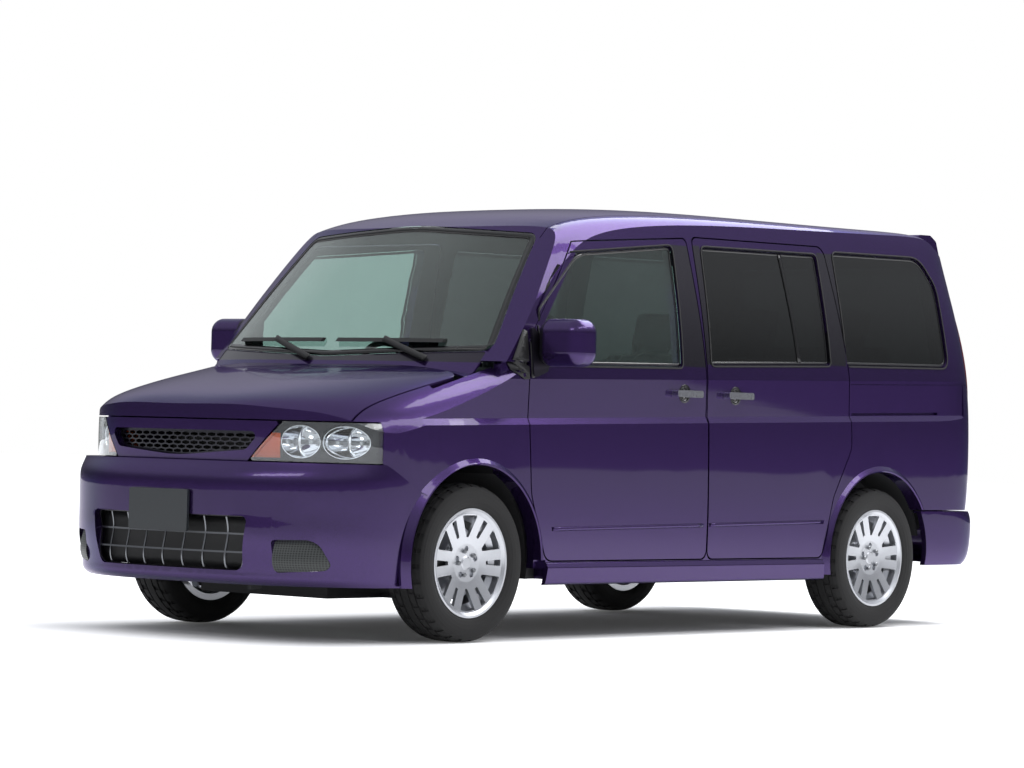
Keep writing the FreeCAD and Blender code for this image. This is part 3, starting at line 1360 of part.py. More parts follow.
def bent_pipe(points, radius, bend):
    """A round pipe along straight runs joined by arcs."""
    edges = []
    last = points[0]
    for i in range(1, len(points) - 1):
        here = points[i]
        a = points[i - 1] - here
        b = points[i + 1] - here
        half_turn = a.getAngle(b) / 2
        reach = bend / math.tan(half_turn)
        a.normalize()
        b.normalize()
        start = here + a * reach
        end = here + b * reach
        bisector = a + b
        bisector.normalize()
        middle = here + bisector * (reach / math.cos(half_turn) - bend)
        edges.append(Part.LineSegment(last, start).toShape())
        edges.append(Part.Arc(start, middle, end).toShape())
        last = end
    edges.append(Part.LineSegment(last, points[-1]).toShape())
    path = Part.Wire(edges)
    first = points[1] - points[0]
    ring = Part.Wire(Part.Circle(points[0], first, radius).toShape())
    return path.makePipeShell([ring], True, False)


def make_exhaust_and_tank():
    under = floor_height - floor_wall
    line_z = under - pipe_drop
    x = -pipe_x
    y_kick = sta(kick_share)
    silencer_y = sta(silencer_share)
    points = [V(x, sta(pipe_front_share), line_z), V(x, y_kick + floor_wall, line_z),
              V(x, sta(beam_share) + pipe_bend / 2, pipe_high), V(x, silencer_y + pipe_bend / 2, pipe_high)]
    pipe = bent_pipe(points, pipe_radius, pipe_bend)
    silencer = box(x - silencer_width, x + pipe_radius * 2, silencer_y, silencer_y + silencer_depth,
                   pipe_high - silencer_tall / 2, pipe_high + silencer_tall / 2)
    silencer = silencer.makeFillet(silencer_tall / 3,
                                   [e for e in silencer.Edges if abs(e.tangentAt(0).x) > 0.9])
    tail_x = x - silencer_width + pipe_radius * 2
    tail = bent_pipe([V(tail_x, silencer_y + silencer_depth / 2, pipe_high),
                      V(tail_x, silencer_y + silencer_depth + pipe_bend, pipe_high),
                      V(tail_x, sta(tail_pipe_share), pipe_end_height)], pipe_radius * 0.8, pipe_bend)
    hangers = [box(x - pipe_radius / 2, x + pipe_radius / 2, sta(s), sta(s) + pipe_radius, line_z,
                   under - seat_gap) for s in hanger_shares]
    hangers.append(box(x - silencer_width / 2, x - silencer_width / 2 + pipe_radius,
                       silencer_y + silencer_depth / 2,
                       silencer_y + silencer_depth / 2 + pipe_radius, pipe_high,
                       load_floor_height - floor_wall - seat_gap))
    save(fuse_all([pipe, silencer, tail] + hangers), "exhaust")
    tank = box(tank_x, tank_x + tank_width, sta(tank_share), sta(tank_share) + tank_length,
               under - seat_gap - tank_depth, under - seat_gap)
    tank = tank.makeFillet(tank_round, [e for e in tank.Edges if e.CenterOfMass.z < under - tank_depth / 4])
    save(tank, "fuel_tank")


def make_wheels():
    bead = rim_radius - rim_flange
    half = rim_width / 2
    drop = bead - rim_drop
    outer = [(-half, rim_radius), (-half + rim_lip, rim_radius), (-half + rim_bead, bead),
             (-half * 0.45, bead),
             (-half * 0.28, drop), (half * 0.34, drop), (half * 0.5, bead), (half - rim_bead, bead),
             (half - rim_lip, rim_radius), (half, rim_radius)]
    inner = [(half, rim_radius - rim_wall), (half - rim_bead, bead - rim_wall), (half * 0.5, bead - rim_wall),
             (half * 0.34, drop - rim_wall), (-half * 0.28, drop - rim_wall), (-half * 0.45, bead - rim_wall),
             (-half, bead - rim_wall)]
    face_x = hub_offset + spoke_depth
    crown = half - face_inset
    spokes = [(hub_offset, cap_radius), (face_x, cap_radius),
              (face_x + spoke_rise * 0.3, lug_circle_radius * 1.35),
              (crown, bead - rim_wall * 0.5), (crown - spoke_depth * 0.9, bead - rim_wall * 0.5),
              (hub_offset + spoke_rise, lug_circle_radius * 1.5), (hub_offset, lug_circle_radius * 1.4)]
    hat_x = hub_offset - hat_depth
    disc = [(hub_offset, hat_radius), (hat_x, hat_radius), (hat_x, disc_radius),
            (hat_x - disc_thickness, disc_radius), (hat_x - disc_thickness, hat_radius * 0.75),
            (hub_offset, hat_radius * 0.75)]
    origin = V(0, 0, 0)
    face_ring = ring_solid(spokes, origin)
    cuts = []
    outer_r = bead - rim_wall * 1.2
    for i in range(spoke_pairs):
        turn = 360.0 / spoke_pairs * i
        for r0, r1, w0, w1, offset, tip in (
                (window_start * rim_radius, outer_r, window_narrow, window_wide, 0.0, corner_small),
                (slot_start * rim_radius, outer_r, slot_narrow, slot_wide, 180.0 / spoke_pairs,
                 corner_small * 0.7)):
            corners = [(-w0 / 2, r0, tip), (w0 / 2, r0, tip), (w1 / 2, r1, tip), (-w1 / 2, r1, tip)]
            cutter = side_prism(corners, 0, half * 2)
            cutter.rotate(origin, V(1, 0, 0), turn + offset)
            cuts.append(cutter)
    for i in range(lug_count):
        lug = Part.makeCylinder(lug_hole_radius, half,
                                V(hub_offset + spoke_depth * 0.3, 0, lug_circle_radius),
                                V(1, 0, 0))
        lug.rotate(origin, V(1, 0, 0), 360.0 / lug_count * i)
        cuts.append(lug)
    face_ring = face_ring.cut(Part.makeCompound(cuts))
    cap = ring_solid([(hub_offset, 0.0), (face_x + cap_proud, 0.0), (face_x + cap_proud, cap_radius * 0.8),
                      (face_x, cap_radius), (hub_offset, cap_radius)], origin)
    rim = fuse_all([ring_solid(outer + inner, origin), face_ring, cap, ring_solid(disc, origin)])
    fit = seat_gap
    tyre = [(half - rim_bead - 1.5 * fit, bead + fit), (half - rim_lip - 3 * fit, rim_radius),
            (half - rim_lip, rim_radius + 4 * fit), (tyre_width / 2,
                                                     rim_radius + (tyre_radius - rim_radius) * 0.42),
            (tyre_width / 2 * 0.97, rim_radius + (tyre_radius - rim_radius) * 0.72),
            (tyre_width / 2 * 0.86, tyre_radius - tyre_crown * 2.2), (tyre_width / 2 * 0.7,
                                                                      tyre_radius - tyre_crown * 0.6),
            (tyre_width / 2 * 0.3, tyre_radius)]
    rubber = ring_solid(tyre + [(-x, r) for x, r in reversed(tyre)], origin)
    for name, axle, sign in (("front_left", front_axle_y, 1), ("front_right", front_axle_y, -1),
                             ("rear_left", rear_axle_y, 1), ("rear_right", rear_axle_y, -1)):
        for kind, solid in (("rim", rim), ("tyre", rubber)):
            placed = solid.copy() if sign > 0 else mirrored(solid)
            placed.translate(V(sign * half_track, axle, tyre_radius))
            save(placed, kind + "_" + name)


def rounded_block(x0, x1, y0, y1, z0, z1, radius):
    block = box(x0, x1, y0, y1, z0, z1)
    return block.makeFillet(min(radius, abs(x1 - x0) / 3, abs(y1 - y0) / 3, abs(z1 - z0) / 3), block.Edges)


def make_seat(x, width, y, base_z):
    """A cushion, a leaning back and headrests on their posts."""
    cushion = rounded_block(x - width / 2, x + width / 2, y, y + seat_length, base_z,
                            base_z + cushion_thickness,
                            seat_round)
    back_y = y + seat_length + seat_gap
    low = base_z + cushion_thickness / 2
    top = low + back_height
    soft = [rounded_block(x - width / 2, x + width / 2, back_y, back_y + back_thickness, low, top,
                          seat_round)]
    rest_y = back_y + rest_inset
    count = max(1, round(width / single_width))
    for i in range(count):
        cx = x - width / 2 + (i + 0.5) * width / count
        rest = rounded_block(cx - rest_width / 2, cx + rest_width / 2, rest_y, rest_y + rest_thickness,
                             top + rest_gap, top + rest_gap + rest_height, seat_round)
        posts = [Part.makeCylinder(post_radius, rest_gap + rest_height / 2 - seat_gap,
                                   V(cx + s * rest_width / 4, rest_y + rest_thickness / 2, top + seat_gap))
                 for s in (-1, 1)]
        soft.append(rest.multiFuse(posts))
    for s in soft:
        s.rotate(V(x, back_y, low), V(1, 0, 0), -back_lean)
    return [cushion] + soft


def make_seat_frame(x, width, y, floor_z, base_z):
    """Two side stands on the floor with a pan across them."""
    x0, x1 = x - width / 2 + leg_inset, x + width / 2 - leg_inset
    y0, y1 = y + leg_inset, y + seat_length - leg_inset
    top = base_z - seat_gap
    pan = box(x0, x1, y0, y1, top - pan_wall, top)
    stands = []
    for u in (x0, x1 - stand_wall):
        stand = box(u, u + stand_wall, y0, y1, floor_z + seat_gap, top)
        arch = box(u, u + stand_wall, y0 + stand_wall, y1 - stand_wall, floor_z + seat_gap + pan_wall,
                   top - 2 * pan_wall)
        stands.append(stand.cut(arch))
    return fuse_all([pan] + stands)


def make_interior():
    front = [(front_seat_x, single_width), (-front_seat_x, single_width)]
    rows = [("front_seats", front_seat_share, front, floor_height, seat_leg),
            ("rear_seats", middle_seat_share, [(0.0, bench_width)], floor_height, seat_leg),
            ("rear_seats", rear_seat_share, [(0.0, rear_bench_width)], load_floor_height, rear_leg)]
    soft = {"front_seats": [], "rear_seats": []}
    frames = []
    for name, share, places, floor_z, leg in rows:
        for x, width in places:
            soft[name] += make_seat(x, width, sta(share), floor_z + leg)
            frames.append(make_seat_frame(x, width, sta(share), floor_z, floor_z + leg))
    for name in soft:
        save(Part.makeCompound(soft[name]), name)
    save(Part.makeCompound(frames), "seat_frames")

    # Dashboard, from the firewall back to the cabin
    points = [(sta(y), lev(z), lev(r)) for y, z, r in dash_shares]
    dash = side_prism(points, -wid(dash_half_share), wid(dash_half_share))
    dash = dash.common(cabin_form(side_wall + seat_gap, roof_wall, screen_set + glass_wall + dash_clearance))
    centre = V(wheel_x, sta(wheel_share), lev(wheel_height_share))
    lean = math.radians(column_lean)
    axis = V(0, math.cos(lean), math.sin(lean))
    column = Part.makeCylinder(column_radius, column_length,
                               centre - axis * (column_length + hub_depth + seat_gap), axis)
    save(dash.fuse(column), "dashboard")
    rim = Part.makeTorus(steering_rim_radius, steering_rim_thickness, centre, axis)
    hub = Part.makeCylinder(column_radius * 1.2, hub_depth, centre - axis * hub_depth, axis)
    spokes = []
    side = V(1, 0, 0)
    down = axis.cross(side)
    low = centre - axis * hub_depth * 0.6
    for direction in (side, side * -1, down if down.z < 0 else down * -1):
        spokes.append(rod(low, centre + direction * steering_rim_radius, steering_rim_thickness * 0.8))
    save(fuse_all([rim, hub] + spokes), "steering_wheel")


def make_all():
    os.makedirs("parts", exist_ok=True)
    plan = [(wid(x), sta(y), lev(r)) for x, y, r in roof_plan_shares]
    tail = [(wid(x), lev(z), lev(r)) for x, z, r in tailgate_shares]
    forms = {
        "nose": nose_form(0),
        "nose_inner": nose_form(skin_wall),
        "cabin": cabin_form(0, 0, 0),
        "cabin_inner": cabin_form(side_wall, roof_wall, pillar_wall),
        "arches": fuse_all([wheel_space(front_axle_y, half_width / 2, body_width, arch_radius),
                            wheel_space(rear_axle_y, half_width / 2, body_width, arch_radius)]),
        "door_cut": door_prism(door_corners, panel_gap).common(cabin_form(-overrun, -overrun, pillar_width)),
        "behind_pillar": cabin_form(-overrun, -overrun, pillar_width + panel_gap),
        "door_window": panel_window(door_glass_shares).common(
            cabin_form(-overrun, -overrun, pillar_width + panel_gap + frame_width)),
        "slide_cut": door_prism(slide_corners, panel_gap),
        "crease": crease_cutter(),
        "roof_cut": plan_prism(outset(plan, panel_gap / 2), lev(roof_base_share), 2 * body_height),
        "roof_plan": plan_prism(plan, lev(roof_base_share), 2 * body_height),
        "screen_cut": front_prism([(wid(x), lev(z), lev(r)) for x, z, r in screen_glass_shares],
                                  sta(screen_zone_front_share), sta(screen_zone_rear_share)),
        "cowl_zone": front_prism([(wid(x), lev(z), lev(r)) for x, z, r in cowl_zone_shares],
                                 sta(screen_zone_front_share), sta(cowl_zone_rear_share)),
        "tail_body": front_prism(tail, tail_split_y, sta(beyond_share)),
        "tail_cut": front_prism(outset(tail, panel_gap), tail_split_y - panel_gap, sta(beyond_share)),
    }
    make_bonnet_and_fenders(forms)
    shell = make_sides(forms)
    make_roof_and_tail(forms, shell)
    make_glass(forms)
    make_front(forms)
    make_rear(forms)
    make_trim(forms)
    make_floor(forms)
    make_front_frame()
    make_engine_and_subframe()
    make_knuckles()
    make_rear_axle()
    make_exhaust_and_tank()
    make_wheels()
    make_interior()


make_all()
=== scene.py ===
import math

import bmesh
import bpy
from mathutils import Matrix, Vector
from mathutils.bvhtree import BVHTree


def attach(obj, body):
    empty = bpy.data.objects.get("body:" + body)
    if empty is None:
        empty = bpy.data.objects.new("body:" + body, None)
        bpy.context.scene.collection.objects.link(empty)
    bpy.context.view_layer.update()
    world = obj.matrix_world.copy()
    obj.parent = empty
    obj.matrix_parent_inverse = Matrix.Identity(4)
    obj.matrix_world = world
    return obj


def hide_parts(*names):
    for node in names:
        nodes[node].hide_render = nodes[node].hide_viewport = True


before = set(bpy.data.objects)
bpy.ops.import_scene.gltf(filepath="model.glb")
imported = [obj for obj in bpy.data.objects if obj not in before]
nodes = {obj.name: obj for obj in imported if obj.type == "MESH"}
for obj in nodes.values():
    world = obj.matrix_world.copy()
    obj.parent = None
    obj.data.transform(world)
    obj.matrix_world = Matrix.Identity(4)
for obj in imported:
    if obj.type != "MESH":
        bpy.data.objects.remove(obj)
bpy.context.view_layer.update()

# Places that follow the part's own sizes, in metres
front_axle = -1.380
rear_axle = 1.423
half_track = 0.735
tyre_radius = 0.320
wheels = {
    "front_left": (1, front_axle),
    "front_right": (-1, front_axle),
    "rear_left": (1, rear_axle),
    "rear_right": (-1, rear_axle),
}
lamp_height = 0.7897
lamp_places = (("inner", 0.555), ("outer", 0.6907))
lamp_bowl_radius = 0.0610


# Node and material helpers

def hue(code):
    """Linear colour from an sRGB hex code."""
    parts = [int(code[i:i + 2], 16) / 255 for i in (1, 3, 5)]
    return tuple(p / 12.92 if p <= 0.04045 else ((p + 0.055) / 1.055) ** 2.4 for p in parts) + (1.0,)


def add(tree, kind, links=None, **settings):
    """Adds a node; links holds its inputs' values or the sockets that feed them."""
    made = tree.nodes.new(kind)
    for name, value in settings.items():
        setattr(made, name, value)
    for name, value in (links or {}).items():
        if isinstance(value, bpy.types.NodeSocket):
            tree.links.new(value, made.inputs[name])
        else:
            made.inputs[name].default_value = value
    return made


def new_material(name, **shader_inputs):
    """A material with one shader; returns it with its tree and the shader node."""
    material = bpy.data.materials.new(name)
    material.use_nodes = True
    tree = material.node_tree
    tree.nodes.clear()
    values = {key.replace("_", " "): value for key, value in shader_inputs.items()}
    shader = add(tree, "ShaderNodeBsdfPrincipled", values)
    add(tree, "ShaderNodeOutputMaterial", {"Surface": shader.outputs[0]})
    return material, tree, shader


def tree_and_shader(material):
    """The node tree of a finished material and its shader node."""
    tree = material.node_tree
    return tree, next(n for n in tree.nodes if n.type == "BSDF_PRINCIPLED")


def grain(tree, size_mm, detail=3.0):
    """Noise on Object coordinates whose lumps are about size_mm across."""
    place = add(tree, "ShaderNodeTexCoord").outputs["Object"]
    return add(tree, "ShaderNodeTexNoise", {"Vector": place, "Scale": 1000.0 / size_mm / 2, "Detail": detail})


def vary(tree, shader, socket, factor, low, high):
    """Lets a noise carry a socket between two values or two colours."""
    if isinstance(low, tuple):
        mix = add(tree, "ShaderNodeMix", {"Factor": factor, 6: low, 7: high}, data_type="RGBA")
        tree.links.new(mix.outputs[2], shader.inputs[socket])
    else:
        span = add(tree, "ShaderNodeMapRange", {"Value": factor, "To Min": low, "To Max": high})
        tree.links.new(span.outputs[0], shader.inputs[socket])


def raise_surface(tree, shader, height, depth_mm, strength=1.0):
    """Bump of a real depth."""
    bump = add(tree, "ShaderNodeBump", {"Height": height, "Distance": depth_mm / 1000, "Strength": strength})
    tree.links.new(bump.outputs[0], shader.inputs["Normal"])


def inside_box(tree, ranges):
    """Mask of 1 inside ranges of Object coordinates; axis 3 is the distance from the middle plane."""
    place = add(tree, "ShaderNodeTexCoord").outputs["Object"]
    axes = add(tree, "ShaderNodeSeparateXYZ", {0: place})
    middle = add(tree, "ShaderNodeMath", {0: axes.outputs[0]}, operation="ABSOLUTE")
    mask = None
    for axis, low, high in ranges:
        value = middle.outputs[0] if axis == 3 else axes.outputs[axis]
        over = add(tree, "ShaderNodeMath", {0: value, 1: low}, operation="GREATER_THAN")
        under = add(tree, "ShaderNodeMath", {0: value, 1: high}, operation="LESS_THAN")
        both = add(tree, "ShaderNodeMath", {0: over.outputs[0], 1: under.outputs[0]}, operation="MULTIPLY")
        if mask is not None:
            both = add(tree, "ShaderNodeMath", {0: mask, 1: both.outputs[0]}, operation="MULTIPLY")
        mask = both.outputs[0]
    return mask


def near_axes(tree, centres, radius):
    """Mask of 1 round lines along the car, given by their distance from the middle and their height."""
    place = add(tree, "ShaderNodeTexCoord").outputs["Object"]
    axes = add(tree, "ShaderNodeSeparateXYZ", {0: place})
    middle = add(tree, "ShaderNodeMath", {0: axes.outputs[0]}, operation="ABSOLUTE")
    flat = add(tree, "ShaderNodeCombineXYZ", {0: middle.outputs[0], 1: axes.outputs[2], 2: 0.0})
    mask = None
    for x, z in centres:
        away = add(tree, "ShaderNodeVectorMath", {0: flat.outputs[0], 1: (x, z, 0)}, operation="DISTANCE")
        near = add(tree, "ShaderNodeMath", {0: away.outputs["Value"], 1: radius}, operation="LESS_THAN")
        if mask is not None:
            near = add(tree, "ShaderNodeMath", {0: mask, 1: near.outputs[0]}, operation="MAXIMUM")
        mask = near.outputs[0]
    return mask


def facing(tree, direction, least):
    """Mask of 1 on faces that look in a direction; least is the smallest cosine that counts."""
    normal = add(tree, "ShaderNodeTexCoord").outputs["Normal"]
    share = add(tree, "ShaderNodeVectorMath", {0: normal, 1: direction}, operation="DOT_PRODUCT")
    mask = add(tree, "ShaderNodeMath", {0: share.outputs["Value"], 1: least}, operation="GREATER_THAN")
    return mask.outputs[0]


def cover_with(tree, shader, mask, colour, metal, rough):
    """Lays another finish over a masked place of a material."""
    for socket, value in (("Base Color", colour), ("Metallic", metal), ("Roughness", rough)):
        target = shader.inputs[socket]
        if target.is_linked:
            present = target.links[0].from_socket
        else:
            held = target.default_value
            present = tuple(held) if socket == "Base Color" else held
        if socket == "Base Color":
            mix = add(tree, "ShaderNodeMix", {"Factor": mask, 6: present, 7: value}, data_type="RGBA")
            tree.links.new(mix.outputs[2], target)
        else:
            mix = add(tree, "ShaderNodeMix", {"Factor": mask, 2: present, 3: value})
            tree.links.new(mix.outputs[0], target)


# Lacquer of the body

paint_light = hue("#452f69")
paint_dark = hue("#190f26")
black_trim = hue("#0c0c0e")
lacquer_metal = 0.8
lacquer_roughness = 0.27
lacquer_coat = 0.45
coat_roughness = 0.03
lining_roughness = 0.75
# Smallest cosine at which a face counts as the lining's
lining_cosine = 0.35


def lacquer(name, bands=(), lining=None, lining_colour="#3a3a3c"):
    """Violet metallic lacquer over primed steel: base coat with aluminium flakes under clear coat."""
    # Bands are boxes of Object coordinates with black film, and lining is the way that the trimmed side looks
    material, tree, shader = new_material(name, Metallic=lacquer_metal, Roughness=lacquer_roughness,
                                          Coat_Weight=lacquer_coat, Coat_Roughness=coat_roughness,
                                          Specular_Tint=hue("#9c86bd"))
    # Flakes are far finer than a pixel, so they are drawn 1.2 mm across
    flake = grain(tree, 1.2, 1.0)
    colour = add(tree, "ShaderNodeMix", {"Factor": flake.outputs[0], 6: paint_dark, 7: paint_light},
                 data_type="RGBA").outputs[2]
    # Slight orange peel of sprayed lacquer, about 8 mm across
    peel = grain(tree, 8.0, 1.0)
    raise_surface(tree, shader, peel.outputs[0], 0.02, 0.5)
    mask = None
    for band in bands:
        inside = inside_box(tree, band)
        if mask is not None:
            inside = add(tree, "ShaderNodeMath", {0: mask, 1: inside}, operation="MAXIMUM").outputs[0]
        mask = inside
    metal, rough, coat = lacquer_metal, lacquer_roughness, lacquer_coat
    if mask is not None:
        colour = add(tree, "ShaderNodeMix", {"Factor": mask, 6: colour, 7: black_trim},
                     data_type="RGBA").outputs[2]
        metal = add(tree, "ShaderNodeMapRange", {"Value": mask, "To Min": metal, "To Max": 0.0}).outputs[0]
    if lining is not None:
        inner = facing(tree, lining, lining_cosine)
        # Leather grain of the trim, lumps about 3 mm across
        leather = grain(tree, 3.0, 4.0)
        trim = add(tree, "ShaderNodeMix",
                   {"Factor": leather.outputs[0], 6: hue(lining_colour), 7: hue("#4c4c4e")}, data_type="RGBA")
        colour = add(tree, "ShaderNodeMix", {"Factor": inner, 6: colour, 7: trim.outputs[2]},
                     data_type="RGBA").outputs[2]
        metal = add(tree, "ShaderNodeMix", {"Factor": inner, 2: metal, 3: 0.0}).outputs[0]
        rough = add(tree, "ShaderNodeMix", {"Factor": inner, 2: rough, 3: lining_roughness}).outputs[0]
        coat = add(tree, "ShaderNodeMix", {"Factor": inner, 2: coat, 3: 0.0}).outputs[0]
    tree.links.new(colour, shader.inputs["Base Color"])
    for socket, value in (("Metallic", metal), ("Roughness", rough), ("Coat Weight", coat)):
        if isinstance(value, bpy.types.NodeSocket):
            tree.links.new(value, shader.inputs[socket])
    return material


# Black film on the pillars, as ranges of axis 1 along the car and axis 2 upwards
front_door_band = ((1, -0.040, 0.12), (2, 1.152, 1.676))
slide_front_band = ((1, 0.05, 0.163), (2, 1.166, 1.682))
slide_rear_band = ((1, 1.030, 1.158), (2, 1.190, 1.700))
right_front_band = ((1, 0.0, 0.163), (2, 1.166, 1.682))
right_rear_band = ((1, 1.030, 1.158), (2, 1.166, 1.706))
paints = {
    "plain": lacquer("violet_metallic_lacquer"),
    "door_left": lacquer("violet_lacquer_door_left", [front_door_band], (-1, 0, 0)),
    "door_right": lacquer("violet_lacquer_door_right", [front_door_band], (1, 0, 0)),
    "slide": lacquer("violet_lacquer_sliding_door", [slide_front_band, slide_rear_band], (-1, 0, 0)),
    "side_left": lacquer("violet_lacquer_side_left", [slide_rear_band], (-1, 0, 0)),
    "side_right": lacquer("violet_lacquer_side_right", [right_front_band, right_rear_band], (1, 0, 0)),
    "gate": lacquer("violet_lacquer_tailgate", (), (0, -1, 0)),
    "roof": lacquer("violet_lacquer_roof", (), (0, 0, -1), "#7c7a75"),
    "bonnet": lacquer("violet_lacquer_bonnet", (), (0, 0, -1), "#1a1620"),
}


def make_two_tone(name, ranges):
    """Violet lacquer with bare black plastic in one range, as on the mirrors' feet and the cowl's rear."""
    material = lacquer(name)
    tree, shader = tree_and_shader(material)
    cover_with(tree, shader, inside_box(tree, ranges), black_trim, 0.0, 0.5)
    return material


mirror_lacquer = make_two_tone("violet_lacquer_over_black_foot", [(3, 0.70, 0.879), (2, 1.0, 1.40)])
cowl_lacquer = make_two_tone("violet_lacquer_black_cowl", [(3, -1.0, 1.0), (2, 1.128, 1.30)])


# Plastics, metals, rubber and glass

def moulded(name, dark, light, grain_mm, depth_mm, rough_low, rough_high, **more):
    """Moulded or cast matter: two close colours, a grain of a real size and a roughness that follows it."""
    material, tree, shader = new_material(name, **more)
    texture = grain(tree, grain_mm, 4.0)
    vary(tree, shader, "Base Color", texture.outputs[0], hue(dark), hue(light))
    vary(tree, shader, "Roughness", texture.outputs[0], rough_low, rough_high)
    raise_surface(tree, shader, texture.outputs[0], depth_mm)
    return material


glass_index = 1.5
polycarbonate_index = 1.585
dust_shade = 0.93


def clear_sheet(name, colour, index=glass_index):
    """Glass or clear plastic: almost all light passes, and its tint takes some of it."""
    material, tree, shader = new_material(name, Transmission_Weight=1.0, IOR=index, Roughness=0.0)
    # Road dust shows as a faint unevenness of the tint, lumps about 60 mm across
    dust = grain(tree, 60.0, 5.0)
    tone = hue(colour)
    dusty = tuple(c * dust_shade for c in tone[:3]) + (1.0,)
    vary(tree, shader, "Base Color", dust.outputs[0], tone, dusty)
    return material


# Black grained ABS of the wipers, covers and shroud: dull, with a fine leather grain
black_abs = moulded("grained_black_abs", "#08080a", "#0e0e10", 1.5, 0.06, 0.5, 0.68)
# Gloss black film of the glass prints and the window divider; in the handle cups, which are body coloured,
# the black is painted shade
film_and_cup_shade = moulded("gloss_dark_film_and_painted_cup_shade", "#050506", "#08080a", 20.0, 0.01, 0.22, 0.3)
# EPDM rubber of the window seals: very dark, dull
epdm = moulded("extruded_epdm_rubber", "#060606", "#0c0c0c", 0.8, 0.05, 0.75, 0.9)
# Tyre rubber: carbon black compound, dull and a little dusty
tyre_rubber = moulded("vulcanised_tyre_rubber", "#0d0d0e", "#171616", 2.5, 0.12, 0.75, 0.92)
# Laminated windscreen glass: faint green
screen_glass = clear_sheet("laminated_green_glass", "#c4d9d3")
# Tempered glass of the front doors: a somewhat stronger green
door_pane_glass = clear_sheet("tempered_green_glass", "#a3bdb8")
# Privacy glass: grey tint through its mass
privacy_glass = clear_sheet("privacy_grey_glass", "#363c3c")
# Lamp covers: clear hard-coated polycarbonate
lamp_cover = clear_sheet("clear_polycarbonate", "#f6fafc", polycarbonate_index)
# Vacuum-aluminised reflector: mirror bright, faint ripples of its moulding
bright_reflector = moulded("aluminised_reflector", "#d9dadd", "#eff0f2", 30.0, 0.05, 0.04, 0.08, Metallic=1.0)
# Satin chromed handles: bright metal with a soft sheen
satin_chrome = moulded("satin_chrome_plate", "#9c9da3", "#b9bac0", 1.0, 0.01, 0.22, 0.32, Metallic=1.0)
# Alloy wheel: cast aluminium under silver lacquer
silver_alloy = moulded("silver_lacquered_cast_alloy", "#a9abb0", "#bfc1c6", 1.2, 0.02, 0.28, 0.36,
                       Metallic=0.85, Coat_Weight=0.6, Coat_Roughness=0.08)
# Underbody: black stone-chip coating sprayed on steel
stone_coat = moulded("stone_chip_coating", "#101012", "#1c1c1e", 3.0, 0.25, 0.6, 0.85)
# Engine, gearbox and knuckles: sand-cast metal, rough and half dull
cast_metal = moulded("sand_cast_alloy", "#4c4c4d", "#6a6a69", 2.0, 0.2, 0.45, 0.7, Metallic=0.7)
# Exhaust: rolled stainless steel, dulled by heat
hot_steel = moulded("heat_dulled_stainless", "#5a5650", "#7e786f", 14.0, 0.03, 0.35, 0.55, Metallic=0.9)
# Tank: blow-moulded polyethylene
blown_hdpe = moulded("blow_moulded_hdpe", "#0f0f10", "#19191a", 5.0, 0.15, 0.45, 0.6)
# Dashboard and steering wheel: slush-moulded skin with leather grain
dash_skin = moulded("slush_moulded_skin", "#222224", "#2e2e30", 2.2, 0.15, 0.6, 0.8)
# Rear lamps: moulded red acrylic, glossy and faintly uneven
red_acrylic = moulded("ribbed_red_acrylic", "#7a0a10", "#a31019", 9.0, 0.3, 0.08, 0.14, Coat_Weight=0.6)
# Blank plate: pressed aluminium, dark grey-green film
plate_film = moulded("dark_plate_film", "#23272a", "#2c3033", 6.0, 0.02, 0.3, 0.42)
# Mirror glass: silvered float glass
silvered_glass = moulded("silvered_float_glass", "#c9ced1", "#d6dadc", 80.0, 0.005, 0.02, 0.04, Metallic=1.0)
# Bulbs: frosted quartz, pale and a little glossy
quartz = moulded("frosted_quartz", "#e8ebee", "#f4f6f8", 5.0, 0.02, 0.15, 0.25, Coat_Weight=0.5)
# Wheel nuts: zinc plated steel
zinc_plate = moulded("zinc_plated_steel", "#6f7174", "#8a8c8f", 2.0, 0.02, 0.25, 0.35, Metallic=1.0)

amber_end = [(3, 0.37, 0.487), (2, 0.725, 0.822)]
bowl_mask_radius = 0.0645
intake_bars = [(3, -1.0, 0.42), (2, 0.288, 0.488)]
honeycomb = [(3, -1.0, 0.44), (2, 0.70, 0.84)]
fog_blanks = [(3, 0.50, 0.72), (2, 0.26, 0.42)]
fog_holes_per_metre = 110.0
fog_hole_share = 0.36
# Smallest cosine at which a face of the grille counts as a front edge that gets the painted highlight
painted_highlight_cosine = 0.6
# Bands of a wave texture repeat every 0.314 m divided by its scale, here every 6 mm
weave_scale = 52.0


def make_lamp_housing():
    """Moulded polycarbonate, smoked silver by thin aluminium, with bright bowls and an amber inner end."""
    material = moulded("smoked_silver_polycarbonate", "#2c2d30", "#3f4043", 14.0, 0.06, 0.2, 0.3,
                       Metallic=0.8)
    tree, shader = tree_and_shader(material)
    cover_with(tree, shader, inside_box(tree, amber_end), hue("#cf4f08"), 0.0, 0.12)
    bowls = near_axes(tree, [(x, lamp_height) for _, x in lamp_places], bowl_mask_radius)
    cover_with(tree, shader, bowls, hue("#eceef1"), 1.0, 0.05)
    return material


